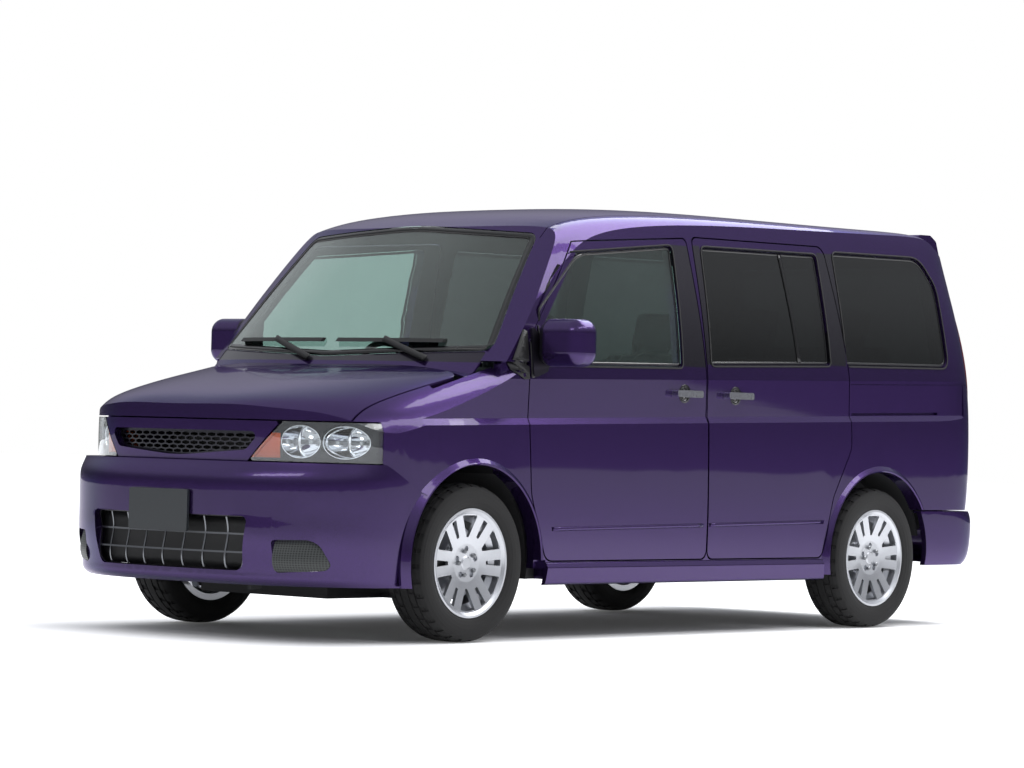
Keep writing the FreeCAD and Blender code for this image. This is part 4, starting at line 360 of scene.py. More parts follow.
def make_grille_plastic():
    """Black ABS; the front edges of the lower bars and of the honeycomb carry a bright line, which is a
    painted highlight.
    """
    material = moulded("black_abs_painted_edge_highlight", "#0b0b0d", "#131315", 1.5, 0.06, 0.42, 0.6)
    tree, shader = tree_and_shader(material)
    # Painted highlight: forward-facing faces of the bars and the honeycomb are made bright as if lit along
    # their edges
    ahead = facing(tree, (0, -1, 0), painted_highlight_cosine)
    for ranges, colour in ((intake_bars, "#77797d"), (honeycomb, "#3a3a3f")):
        where = inside_box(tree, ranges)
        both = add(tree, "ShaderNodeMath", {0: where, 1: ahead}, operation="MULTIPLY").outputs[0]
        cover_with(tree, shader, both, hue(colour), 0.9, 0.28)
    # Fog lamp blanks: pressed mesh with holes 9 mm apart
    place = add(tree, "ShaderNodeTexCoord").outputs["Object"]
    flat = add(tree, "ShaderNodeVectorMath", {0: place, 1: (1.0, 0.0, 1.0)}, operation="MULTIPLY")
    cells = add(tree, "ShaderNodeTexVoronoi",
                {"Vector": flat.outputs[0], "Scale": fog_holes_per_metre, "Randomness": 0.0})
    webs = add(tree, "ShaderNodeMath", {0: cells.outputs["Distance"], 1: fog_hole_share},
               operation="GREATER_THAN")
    both = add(tree, "ShaderNodeMath", {0: webs.outputs[0], 1: inside_box(tree, fog_blanks)},
               operation="MULTIPLY")
    cover_with(tree, shader, both.outputs[0], hue("#3c403f"), 0.1, 0.45)
    return material


def woven_cloth(name, dark, light):
    """Woven cloth: crossed waves, matt with a faint sheen."""
    material, tree, shader = new_material(name, Roughness=0.9, Sheen_Weight=0.25, Sheen_Roughness=0.5)
    place = add(tree, "ShaderNodeTexCoord").outputs["Object"]
    waves = {"Vector": place, "Scale": weave_scale, "Distortion": 0.4}
    warp = add(tree, "ShaderNodeTexWave", waves, bands_direction="X")
    weft = add(tree, "ShaderNodeTexWave", waves, bands_direction="Z")
    weave = add(tree, "ShaderNodeMath", {0: warp.outputs["Fac"], 1: weft.outputs["Fac"]},
                operation="MULTIPLY")
    vary(tree, shader, "Base Color", weave.outputs[0], hue(dark), hue(light))
    raise_surface(tree, shader, weave.outputs[0], 0.4)
    return material


lamp_housing = make_lamp_housing()
grille_plastic = make_grille_plastic()
# Seat cloth: woven polyester; its threads are 1.6 mm apart, and are drawn 6 mm apart so that they show
seat_cloth = woven_cloth("woven_polyester_cloth", "#2b2b2f", "#46464b")

dress = {
    "bonnet": paints["bonnet"], "front_fenders": paints["plain"], "cowl_panel": cowl_lacquer,
    "front_door_left": paints["door_left"], "front_door_right": paints["door_right"],
    "sliding_door": paints["slide"], "side_panel_left": paints["side_left"],
    "side_panel_right": paints["side_right"], "fuel_lid": paints["plain"], "roof_panel": paints["roof"],
    "tailgate": paints["gate"], "tailgate_glass": privacy_glass, "rear_spoiler": paints["plain"],
    "windscreen": screen_glass, "front_door_glass_left": door_pane_glass,
    "front_door_glass_right": door_pane_glass, "side_glass": privacy_glass, "front_bumper": paints["plain"],
    "number_plate": plate_film, "grille_surround": paints["plain"], "grilles": grille_plastic,
    "headlamp_lenses": lamp_cover, "headlamp_units": lamp_housing, "rear_bumper": paints["plain"],
    "tail_lamps": red_acrylic, "side_skirts": paints["plain"], "door_handle_left": satin_chrome,
    "door_handle_right": satin_chrome, "sliding_door_handle": satin_chrome, "mirror_left": mirror_lacquer,
    "mirror_right": mirror_lacquer, "wipers": black_abs, "floor_pan": stone_coat, "front_frame": stone_coat,
    "radiator": black_abs, "engine_block": cast_metal, "front_subframe": stone_coat,
    "front_knuckle_left": cast_metal, "front_knuckle_right": cast_metal, "rear_axle": stone_coat,
    "exhaust": hot_steel, "fuel_tank": blown_hdpe, "front_seats": seat_cloth, "rear_seats": seat_cloth,
    "seat_frames": stone_coat, "dashboard": dash_skin, "steering_wheel": dash_skin,
}
for wheel in wheels:
    dress["rim_" + wheel] = silver_alloy
    dress["tyre_" + wheel] = tyre_rubber
for name, material in dress.items():
    slots = nodes[name].data.materials
    slots.clear()
    slots.append(material)


# Mesh helpers

def new_object(name, data):
    """An object at the origin, in the scene."""
    made = bpy.data.objects.new(name, data)
    bpy.context.scene.collection.objects.link(made)
    return made


def place_mesh(shape, name, material, body, smooth=True):
    """Turns a bmesh into a piece that rides on a body."""
    mesh = bpy.data.meshes.new(name)
    shape.to_mesh(mesh)
    shape.free()
    for face in mesh.polygons:
        face.use_smooth = smooth
    piece = new_object(name, mesh)
    piece.data.materials.append(material)
    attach(piece, body)
    return piece


def join(target, part):
    """Adds one bmesh to another and frees it."""
    held = bpy.data.meshes.new("part")
    part.to_mesh(held)
    part.free()
    target.from_mesh(held)
    bpy.data.meshes.remove(held)


def recalculate(shape):
    """Makes the faces of a shape look outwards."""
    bmesh.ops.recalc_face_normals(shape, faces=shape.faces)


def turned(shape, outline, steps):
    """Spins an outline of (x, radius) round the X axis of the mesh's own origin."""
    verts = [shape.verts.new((x, 0, r)) for x, r in outline]
    edges = [shape.edges.new(pair) for pair in zip(verts, verts[1:])]
    bmesh.ops.spin(shape, geom=verts + edges, cent=(0, 0, 0), axis=(1, 0, 0), dvec=(0, 0, 0),
                   angle=math.tau, steps=steps, use_merge=True, use_duplicate=False)
    bmesh.ops.remove_doubles(shape, verts=shape.verts, dist=1e-5)
    recalculate(shape)


# Tyres: sidewall, shoulder and a tread of five ribs with cross cuts

tread_steps = 96
groove_depth = 0.0065
groove_slope = 0.001
side_outline = [(0.0752, 0.2036), (0.0834, 0.2207), (0.0865, 0.2235), (0.0935, 0.2320), (0.1000, 0.2480),
                (0.1022, 0.2640), (0.1016, 0.2800), (0.0992, 0.2930), (0.0935, 0.3030), (0.0890, 0.3075)]
rib_edges = [(0.0735, 0.3148), (0.0560, 0.3176), (0.0490, 0.3180), (0.0240, 0.3196), (0.0170, 0.3198)]
# Where the cross cuts lie: distance from the tyre's middle plane and least radius
shoulder_start, shoulder_base = 0.056, 0.306
second_rib_start, second_rib_end, second_rib_base = 0.025, 0.048, 0.3165
cut_margin = 0.0016
cut_depth = 0.0045
# Raised rings on the sidewall: radius and distance from the middle plane
sidewall_rings = ((0.2385, 0.0950), (0.2870, 0.0985))
ring_height = 0.0014
ring_half_width = 0.0015


def tyre_outline():
    """Closed outline of the tyre's section, with its grooves."""
    half = side_outline + rib_edges[:1]
    for outer, inner in (rib_edges[1:3], rib_edges[3:5]):
        half += [outer, (outer[0] - groove_slope, outer[1] - groove_depth),
                 (inner[0] + groove_slope, inner[1] - groove_depth), inner]
    outline = half + [(-x, r) for x, r in reversed(half)]
    outline.append(outline[0])
    return outline


def cut_faces(shape):
    """Every third face of the shoulder ribs and, one step away, every third of the second ribs."""
    cuts = []
    for face in shape.faces:
        middle = face.calc_center_median()
        out, away = abs(middle.x), math.hypot(middle.y, middle.z)
        step = round((math.atan2(middle.z, middle.y) / math.tau) * tread_steps - 0.5)
        on_shoulder = out > shoulder_start and away > shoulder_base
        on_second = second_rib_start < out < second_rib_end and away > second_rib_base
        if (on_shoulder and step % 3 == 0) or (on_second and (step + 1) % 3 == 0):
            cuts.append(face)
    return cuts


def make_tyre(name, side, axle):
    """A tyre with its tread, and the rings on its sidewall."""
    to_wheel = Matrix.Translation((side * half_track, axle, tyre_radius))
    shape = bmesh.new()
    turned(shape, tyre_outline(), tread_steps)
    shape.faces.ensure_lookup_table()
    bmesh.ops.inset_individual(shape, faces=cut_faces(shape), thickness=cut_margin, depth=-cut_depth)
    shape.transform(to_wheel)
    recalculate(shape)
    tyre = place_mesh(shape, "dressed_tyre_" + name, tyre_rubber, "wheel_" + name, smooth=False)
    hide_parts("tyre_" + name)
    rings = bmesh.new()
    for radius, x in sidewall_rings:
        ring = bmesh.new()
        ridge = [(x, radius - ring_half_width), (x + ring_height, radius), (x, radius + ring_half_width)]
        turned(ring, ridge, tread_steps)
        join(rings, ring)
    bmesh.ops.scale(rings, vec=(side, 1, 1), verts=rings.verts)
    recalculate(rings)
    rings.transform(to_wheel)
    place_mesh(rings, "sidewall_rings_" + name, tyre_rubber, "wheel_" + name)


for wheel, (side, axle) in wheels.items():
    make_tyre(wheel, side, axle)


# Draped pieces: seals, strips and mouldings that follow the panels

near_side_reach = 1.5
length_reach = 3.4
strip_wall = 0.002
starts = {
    "left": lambda u, v: ((2, u, v), (-1, 0, 0)),
    "right": lambda u, v: ((-2, u, v), (1, 0, 0)),
    "front": lambda u, v: ((u, -4, v), (0, 1, 0)),
    "rear": lambda u, v: ((u, 4, v), (0, -1, 0)),
}


def caster(names):
    """Finds the outer surface of some nodes along a straight look."""
    trees = []
    for name in names:
        shape = bmesh.new()
        shape.from_mesh(nodes[name].data)
        trees.append(BVHTree.FromBMesh(shape))
        shape.free()

    def look(start, ahead):
        best = None
        # A look from the side ends before the car's far side, so that it finds only the near one
        reach = near_side_reach if abs(ahead[0]) > 0.5 else length_reach
        for tree in trees:
            point, _, _, far = tree.ray_cast(Vector(start), Vector(ahead), reach)
            if point is not None and (best is None or far < best[1]):
                best = (point, far)
        return best[0] if best else None
    return look


def rounded_loop(corners, grow=0.0, step=0.03):
    """Points of a closed outline with rounded corners (u, v, radius), moved outwards by grow."""
    sharpest, flattest, side_share, least_cut, arc_parts = 0.05, 1.56, 0.46, 0.004, 6
    flat = [Vector((u, v)) for u, v, _ in corners]
    path = []
    for i, corner in enumerate(flat):
        back, on = flat[i - 1] - corner, flat[(i + 1) % len(flat)] - corner
        half = max(sharpest, back.angle(on) / 2)
        cut = 0.0
        if half < flattest:
            cut = min(corners[i][2] / math.tan(half), side_share * back.length, side_share * on.length)
        cut = max(cut, least_cut)
        first, last = corner + back.normalized() * cut, corner + on.normalized() * cut
        for k in range(arc_parts + 1):
            t = k / arc_parts
            path.append((1 - t) ** 2 * first + 2 * t * (1 - t) * corner + t * t * last)
    dense = []
    for i, point in enumerate(path):
        following = path[(i + 1) % len(path)]
        count = max(1, round((following - point).length / step))
        dense += [point.lerp(following, k / count) for k in range(count)]
    area = sum(a.x * b.y - b.x * a.y for a, b in zip(dense, dense[1:] + dense[:1]))
    turn = 1 if area > 0 else -1
    moved = []
    for i, point in enumerate(dense):
        along = (dense[(i + 1) % len(dense)] - dense[i - 1]).normalized()
        moved.append(point + turn * grow * Vector((along.y, -along.x)))
    return moved


def straight(ends, count=24, shift=0.0):
    """Points on a straight run between two ends, moved up by a shift."""
    (u0, v0), (u1, v1) = ends
    return [(u0 + (u1 - u0) * k / count, v0 + (v1 - v0) * k / count + shift) for k in range(count + 1)]


def lay_strip(name, lines, look, side, lifts, material, body, closed=True, wall=strip_wall):
    """Lays a strip between two lines of (u, v) points on a surface seen from a side or an end of the car."""
    shape = bmesh.new()
    edges = []
    held = None
    for line, lift in zip(lines, lifts):
        ring = []
        for u, v in line:
            start, ahead = starts[side](u, v)
            found = look(start, ahead)
            held = found if found is not None else held
            # Past the surface's edge a point takes the last found depth; before any is found it is left out
            if held is None:
                continue
            depth = (held - Vector(start)).dot(Vector(ahead))
            ring.append(shape.verts.new(Vector(start) + Vector(ahead) * (depth - lift)))
        pairs = list(zip(ring, ring[1:])) + ([(ring[-1], ring[0])] if closed else [])
        edges += [shape.edges.new(pair) for pair in pairs]
    bmesh.ops.bridge_loops(shape, edges=edges)
    recalculate(shape)
    outwards = -Vector(starts[side](0, 0)[1])
    top = bmesh.ops.extrude_face_region(shape, geom=list(shape.faces), use_keep_orig=True)["geom"]
    raised = [v for v in top if isinstance(v, bmesh.types.BMVert)]
    bmesh.ops.translate(shape, verts=raised, vec=outwards * wall)
    recalculate(shape)
    return place_mesh(shape, name, material, body)


# Window outlines: places along or across the car, heights and corner radii
door_window = [(-0.9791, 1.129, 0.018), (-0.996, 1.360, 0.037), (-0.7605, 1.600, 0.148),
               (-0.0346, 1.6716, 0.028), (-0.0514, 1.1476, 0.022)]
slide_window = [(0.156, 1.1624, 0.022), (0.1729, 1.6771, 0.028), (1.0222, 1.690, 0.028),
                (1.0334, 1.190, 0.022)]
quarter_window = [(1.1651, 1.1937, 0.022), (1.1539, 1.7066, 0.028), (1.8493, 1.7177, 0.148),
                  (1.960, 1.5867, 0.148), (1.9835, 1.2085, 0.055)]
screen_window = [(-0.7653, 1.1753, 0.037), (0.0, 1.1439, 1.6), (0.7653, 1.1753, 0.037),
                 (0.6399, 1.6826, 0.055), (0.0, 1.7232, 1.6), (-0.6399, 1.6826, 0.055)]
gate_window = [(-0.5932, 1.1808, 0.055), (0.5932, 1.1808, 0.055), (0.5509, 1.6882, 0.074),
               (-0.5509, 1.6882, 0.074)]
panes = [
    ("door_pane_seal_left", door_window, "left", ["front_door_left", "front_door_glass_left"], "door_left"),
    ("door_pane_seal_right", door_window, "right", ["front_door_right", "front_door_glass_right"],
     "door_right"),
    ("sliding_pane_seal", slide_window, "left", ["sliding_door", "side_glass"], "body_shell"),
    ("right_pane_seal", slide_window, "right", ["side_panel_right", "side_glass"], "body_shell"),
    ("quarter_pane_seal_left", quarter_window, "left", ["side_panel_left", "side_glass"], "body_shell"),
    ("quarter_pane_seal_right", quarter_window, "right", ["side_panel_right", "side_glass"], "body_shell"),
    ("tailgate_pane_seal", gate_window, "rear", ["tailgate", "tailgate_glass"], "tailgate_body"),
]
seal_outer, seal_inner, seal_lift = 0.008, 0.001, 0.0008
print_outer, print_inner, rear_print_inner = 0.0045, 0.016, 0.030
screen_print_outer, screen_print_inner = 0.0035, 0.026
print_lift, print_wall = 0.0006, 0.0008


def lay_print(name, outline, outer, inner, names, side, body):
    """Black print on the glass, between two distances inside a window's outline."""
    lay_strip(name, [rounded_loop(outline, -outer), rounded_loop(outline, -inner)], caster(names), side,
              (print_lift, print_lift), film_and_cup_shade, body, wall=print_wall)


for name, outline, side, names, body in panes:
    seal_lines = [rounded_loop(outline, seal_outer), rounded_loop(outline, seal_inner)]
    lay_strip(name, seal_lines, caster(names), side, (seal_lift, seal_lift), epdm, body)
    inner = rear_print_inner if side == "rear" else print_inner
    lay_print(name.replace("seal", "edge_print"), outline, print_outer, inner, names[1:], side, body)
lay_print("screen_edge_print", screen_window, screen_print_outer, screen_print_inner, ["windscreen"], "front",
          "body_shell")

# Divider of the sliding door's window: a leaning bar
divider_width = 0.024
divider_lift = 0.001
divider_foot, divider_top = (0.80, 1.17), (0.74, 1.682)
divider_lines = [straight(((divider_foot[0] + shift, divider_foot[1]),
                           (divider_top[0] + shift, divider_top[1])), 20)
                 for shift in (0.0, divider_width)]
lay_strip("pane_divider", divider_lines, caster(["side_glass"]), "left", (divider_lift, divider_lift),
          film_and_cup_shade, "body_shell", closed=False)

# Low mouldings of the doors, body coloured, rising a little to the rear
front_moulding = ((-0.90, 0.448), (0.105, 0.463))
sliding_moulding = ((0.155, 0.464), (0.985, 0.478))
moulding_height = 0.016
moulding_lifts = (0.0006, 0.0050)
moulding_wall = 0.0022
for name, node, side, body, ends in (
        ("front_door_moulding", "front_door_left", "left", "door_left", front_moulding),
        ("sliding_door_moulding", "sliding_door", "left", "body_shell", sliding_moulding),
        ("right_door_moulding", "front_door_right", "right", "door_right", front_moulding)):
    lay_strip(name, [straight(ends), straight(ends, shift=moulding_height)], caster([node]), side,
              moulding_lifts, paints["plain"], body, closed=False, wall=moulding_wall)


# Black covers and liners: mirror corners and wiper arms; black patches of painted shade in the handle cups

patch_step = 0.012
patch_shares = (1.0, 0.7, 0.4, 0.06)


def lay_patch(name, outline, look, side, lift, material, body, wall):
    """Fills an outline with rings of a patch that follows the surface."""
    edge = rounded_loop(outline, 0.0, patch_step)
    middle = sum(edge, Vector((0, 0))) / len(edge)
    rings = [[middle + (point - middle) * share for point in edge] for share in patch_shares]
    for number, (outer, inner) in enumerate(zip(rings, rings[1:])):
        lay_strip("%s_ring_%d" % (name, number + 1), [outer, inner], look, side, (lift, lift), material, body,
                  wall=wall)


corner_cover = [(-1.094, 1.271, 0.006), (-1.181, 1.128, 0.012), (-1.151, 1.092, 0.02),
                (-1.100, 1.065, 0.02), (-1.069, 1.068, 0.004), (-1.069, 1.262, 0.004)]
door_cover = [(-1.056, 1.250, 0.006), (-1.056, 1.070, 0.008), (-0.985, 1.094, 0.02), (-1.000, 1.208, 0.02)]
cover_lift, cover_wall = 0.002, 0.003
for side in ("left", "right"):
    panels = caster(["front_fenders", "side_panel_" + side])
    lay_patch("mirror_corner_cover_" + side, corner_cover, panels, side, cover_lift, black_abs, "body_shell",
              cover_wall)
    door = caster(["front_door_" + side, "front_door_glass_" + side])
    lay_patch("door_corner_cover_" + side, door_cover, door, side, cover_lift, black_abs, "door_" + side,
              cover_wall)

cup_radius, cup_corners, cup_height = 0.041, 12, 1.035
cup_shade_lift, cup_shade_wall = 0.0007, 0.0009


def cup_shade_outline(y):
    """Round outline of a handle's cup, centred a distance along the car, for its patch of painted shade."""
    turns = [math.tau * k / cup_corners for k in range(cup_corners)]
    return [(y + cup_radius * math.cos(t), cup_height + cup_radius * math.sin(t), 0.02) for t in turns]


# The handle cups are body coloured; the black patches laid in them are painted shade
for name, node, side, body, y in (("handle_cup_painted_shade_left", "front_door_left", "left", "door_left", -0.035),
                                  ("handle_cup_painted_shade_right", "front_door_right", "right", "door_right", -0.035),
                                  ("handle_cup_sliding", "sliding_door", "left", "body_shell", 0.326)):
    lay_patch(name, cup_shade_outline(y), caster([node]), side, cup_shade_lift, film_and_cup_shade, body, cup_shade_wall)

arm_width, arm_lift, arm_wall = 0.020, 0.014, 0.010
arm_look = caster(["cowl_panel", "windscreen"])
for name, ends in (("wiper_arm_right", ((-0.08, 1.132), (-0.36, 1.214))),
                   ("wiper_arm_left", ((0.53, 1.132), (0.27, 1.214)))):
    lay_strip(name, [straight(ends, 16), straight(ends, 16, arm_width)], arm_look, "front",
              (arm_lift, arm_lift), black_abs, "body_shell", closed=False, wall=arm_wall)


# Headlamps: parabolic bowls and bulbs behind the clear cover

bowl_margin = 0.006
bowl_gap = 0.002
bowl_depth = 0.085
least_bowl_depth = 0.02
bowl_wall = 0.0015
back_gap = 0.003
bowl_curve = 0.985
bowl_parts = 8
rim_looks = 16
bulb_radius, cap_radius = 0.0065, 0.012
# The bulb along the bowl's depth: where it starts, where its cap starts and where it ends
bulb_start, cap_start, bulb_end = 0.04, 0.62, 0.93


def bowl_room(look, x):
    """Front plane and depth of the room that the lamp's housing leaves round an axis."""
    reach = lamp_bowl_radius + bowl_margin
    rim = []
    for k in range(rim_looks):
        turn = math.tau * k / rim_looks
        hit = look((x + reach * math.cos(turn), -4, lamp_height + reach * math.sin(turn)), (0, 1, 0))
        if hit is not None:
            rim.append(hit.y)
    front = max(rim) + bowl_gap
    back = look((x, -4, lamp_height), (0, 1, 0))
    # The outer bowl has no wall behind it, so there it keeps the full depth
    if back is None:
        return front, bowl_depth
    return front, min(bowl_depth, max(least_bowl_depth, back.y - back_gap - front))


def turned_along(outline, steps, place):
    """Spins an outline round an axis that runs from a place to the rear."""
    shape = bmesh.new()
    turned(shape, outline, steps)
    bmesh.ops.rotate(shape, verts=shape.verts, cent=(0, 0, 0), matrix=Matrix.Rotation(math.pi / 2, 3, "Z"))
    bmesh.ops.translate(shape, verts=shape.verts, vec=place)
    recalculate(shape)
    return shape


def make_bowl(name, x, front, depth):
    """Bright dish, open to the front."""
    outline = [(0.0, lamp_bowl_radius), (0.0, lamp_bowl_radius - bowl_wall)]
    for k in range(1, bowl_parts + 1):
        share = k / bowl_parts
        outline.append((depth * share, (lamp_bowl_radius - bowl_wall) * math.sqrt(1 - share * bowl_curve)))
    outline.append((depth + 0.001, 0.0))
    dish = turned_along(outline, 40, (x, front, lamp_height))
    if sum(f.normal.y * f.calc_area() for f in dish.faces) > 0:
        bmesh.ops.reverse_faces(dish, faces=dish.faces)
    place_mesh(dish, name, bright_reflector, "body_shell")


def make_bulb(name, x, front, depth):
    """Frosted bulb with its cap, on the bowl's axis."""
    length = depth * cap_start
    outline = [(0.0, 0.0), (0.001, 0.006), (0.006, 0.0095), (0.012, 0.0095), (0.013, bulb_radius),
               (length, bulb_radius), (length + 0.001, cap_radius), (depth * bulb_end, cap_radius),
               (depth * bulb_end, 0.0)]
    bulb = turned_along(outline, 24, (x, front + depth * bulb_start, lamp_height))
    place_mesh(bulb, name, quartz, "body_shell")


unit_look = caster(["headlamp_units"])
for side, label in ((1, "left"), (-1, "right")):
    for place, x in lamp_places:
        front, depth = bowl_room(unit_look, side * x)
        make_bowl("lamp_bowl_%s_%s" % (place, label), side * x, front, depth)
        make_bulb("lamp_bulb_%s_%s" % (place, label), side * x, front, depth)


# Dark shroud between the lower intake and the radiator, bowed a little

shroud_width, shroud_height, shroud_bow = 0.87, 0.212, 0.010
shroud_place = (0, -2.220, 0.388)
shroud_wall = 0.003
shroud = bmesh.new()
bmesh.ops.create_grid(shroud, x_segments=24, y_segments=6, size=0.5)
bmesh.ops.scale(shroud, verts=shroud.verts, vec=(shroud_width, shroud_height, 1))
bmesh.ops.rotate(shroud, verts=shroud.verts, cent=(0, 0, 0), matrix=Matrix.Rotation(math.pi / 2, 3, "X"))
for vert in shroud.verts:
    vert.co.y = shroud_bow * (vert.co.x / (shroud_width / 2)) ** 2
bmesh.ops.translate(shroud, verts=shroud.verts, vec=shroud_place)
bmesh.ops.solidify(shroud, geom=list(shroud.faces), thickness=shroud_wall)
recalculate(shroud)
place_mesh(shroud, "intake_shroud", black_abs, "body_shell")


# Mirror glasses in the shells' rear openings

glass_size = (0.196, 0.004, 0.158)
glass_place = (0.950, -0.9185, 1.2195)
glass_corner = 0.030
for side, label in ((1, "left"), (-1, "right")):
    glass = bmesh.new()
    bmesh.ops.create_cube(glass, size=1.0)
    bmesh.ops.scale(glass, verts=glass.verts, vec=glass_size)
    edges_through = [e for e in glass.edges if abs(e.verts[0].co.y - e.verts[1].co.y) > 0.001]
    bmesh.ops.bevel(glass, geom=edges_through, offset=glass_corner, offset_type="OFFSET", segments=6,
                    profile=0.5, affect="EDGES", material=-1)
    bmesh.ops.translate(glass, verts=glass.verts, vec=(side * glass_place[0], glass_place[1], glass_place[2]))
    recalculate(glass)
    place_mesh(glass, "mirror_glass_" + label, silvered_glass, "door_" + label, smooth=False)


# Wheel nuts, five on a circle round each hub

nut_outline = [(0.0, 0.0), (0.0, 0.0095), (0.012, 0.0095), (0.016, 0.006), (0.0165, 0.0)]
nut_circle = 0.050
nut_count = 5
nut_sink = 0.002
hub_face = 0.76
for wheel, (side, axle) in wheels.items():
    nuts = bmesh.new()
    for k in range(nut_count):
        turn = math.tau * (k + 0.5) / nut_count
        nut = bmesh.new()
        turned(nut, nut_outline, 6)
        bmesh.ops.translate(nut, verts=nut.verts,
                            vec=(0, nut_circle * math.cos(turn), nut_circle * math.sin(turn)))
        join(nuts, nut)
    first = math.tau * 0.5 / nut_count
    hub_look = caster(["rim_" + wheel])
    nut_place = (axle + nut_circle * math.cos(first), tyre_radius + nut_circle * math.sin(first))
    hit = hub_look((side * 2, *nut_place), (-side, 0, 0))
    seat = abs(hit.x) if hit is not None else hub_face
    bmesh.ops.scale(nuts, verts=nuts.verts, vec=(side, 1, 1))
    bmesh.ops.translate(nuts, verts=nuts.verts, vec=(side * (seat - nut_sink), axle, tyre_radius))
    recalculate(nuts)
    place_mesh(nuts, "wheel_nuts_" + wheel, zinc_plate, "wheel_" + wheel, smooth=False)


# Seats: padded covers that swell over their foam, with sewn channels

merge_distance = 0.0002
first_smoothing, last_smoothing = 0.5, 0.4
cover_inset = 0.010
cover_pressure = 4.0
greatest_swell = 0.011
channel_half_width = 0.013
channel_depth = 0.006
cloth_frames = 20


def smooth_out(shape, factor):
    """Smooths a mesh once."""
    bmesh.ops.smooth_vert(shape, verts=shape.verts, factor=factor, use_axis_x=True, use_axis_y=True,
                          use_axis_z=True)


def evaluated_mesh(holder):
    """Mesh of an object with its modifiers applied."""
    return bpy.data.meshes.new_from_object(holder.evaluated_get(bpy.context.evaluated_depsgraph_get()))


def even_cover(name, node, voxel):
    """Object with an even mesh over a node's shape, a little inside it."""
    source = bmesh.new()
    source.from_mesh(nodes[node].data)
    bmesh.ops.remove_doubles(source, verts=source.verts, dist=merge_distance)
    mesh = bpy.data.meshes.new(name)
    source.to_mesh(mesh)
    source.free()
    pad = new_object(name, mesh)
    remesh = pad.modifiers.new("voxels", "REMESH")
    remesh.mode = "VOXEL"
    remesh.voxel_size = voxel
    bpy.context.view_layer.update()
    even = evaluated_mesh(pad)
    pad.modifiers.clear()
    pad.data = even
    shape = bmesh.new()
    shape.from_mesh(even)
    for _ in range(4):
        smooth_out(shape, first_smoothing)
    shape.normal_update()
    for vert in shape.verts:
        vert.co -= vert.normal * cover_inset
    shape.to_mesh(even)
    shape.free()
    return pad


def swell(pad):
    """Lets the cover swell under pressure, by a limited way."""
    rest = [v.co.copy() for v in pad.data.vertices]
    cloth = pad.modifiers.new("cover", "CLOTH")
    cloth.settings.quality = 4
    cloth.settings.use_pressure = True
    cloth.settings.uniform_pressure_force = cover_pressure
    cloth.settings.effector_weights.gravity = 0.0
    cloth.point_cache.frame_start = 1
    cloth.point_cache.frame_end = cloth_frames
    for frame_number in range(1, cloth_frames + 1):
        bpy.context.scene.frame_set(frame_number)
    swollen = evaluated_mesh(pad)
    bpy.context.scene.frame_set(1)
    pad.modifiers.clear()
    pad.data = swollen
    for vert, before in zip(swollen.vertices, rest):
        move = vert.co - before
        if move.length > greatest_swell:
            vert.co = before + move.normalized() * greatest_swell


def sew_channels(pad, channels):
    """Smooths and refines the cover, and sinks the sewn channels at distances across the car."""
    shape = bmesh.new()
    shape.from_mesh(pad.data)
    smooth_out(shape, last_smoothing)
    bmesh.ops.subdivide_edges(shape, edges=shape.edges, cuts=1, use_grid_fill=True, smooth=0.0)
    shape.normal_update()
    for vert in shape.verts:
        away = min(abs(vert.co.x - line) for line in channels)
        if away < channel_half_width:
            vert.co -= vert.normal * channel_depth * (1 + math.cos(math.pi * away / channel_half_width)) / 2
    for face in shape.faces:
        face.smooth = True
    shape.to_mesh(pad.data)
    shape.free()


def make_padding(name, node, channels, voxel):
    """Padded cover that takes the place of a node of seats."""
    pad = even_cover(name, node, voxel)
    swell(pad)
    sew_channels(pad, [side * x for side in (-1, 1) for x in channels])
    pad.data.materials.clear()
    pad.data.materials.append(seat_cloth)
    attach(pad, "body_shell")
    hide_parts(node)


make_padding("padded_front_seats", "front_seats", (0.215, 0.515), 0.013)
make_padding("padded_rear_seats", "rear_seats", (0.0001, 0.190, 0.430), 0.018)


# Stage: pale floor, plain soft lights and the camera at the photograph's place

white = (1, 1, 1, 1)
floor_half_size = 60.0
# Half the car's footprint, where the floor's lift is held low as a painted shadow, how far the lift takes to
# grow beyond it, and its least and greatest strength
painted_shadow_half_size = (0.55, 1.95, 0.0)
painted_shadow_fade = 0.75
painted_shadow_lift, greatest_lift = 0.03, 0.60


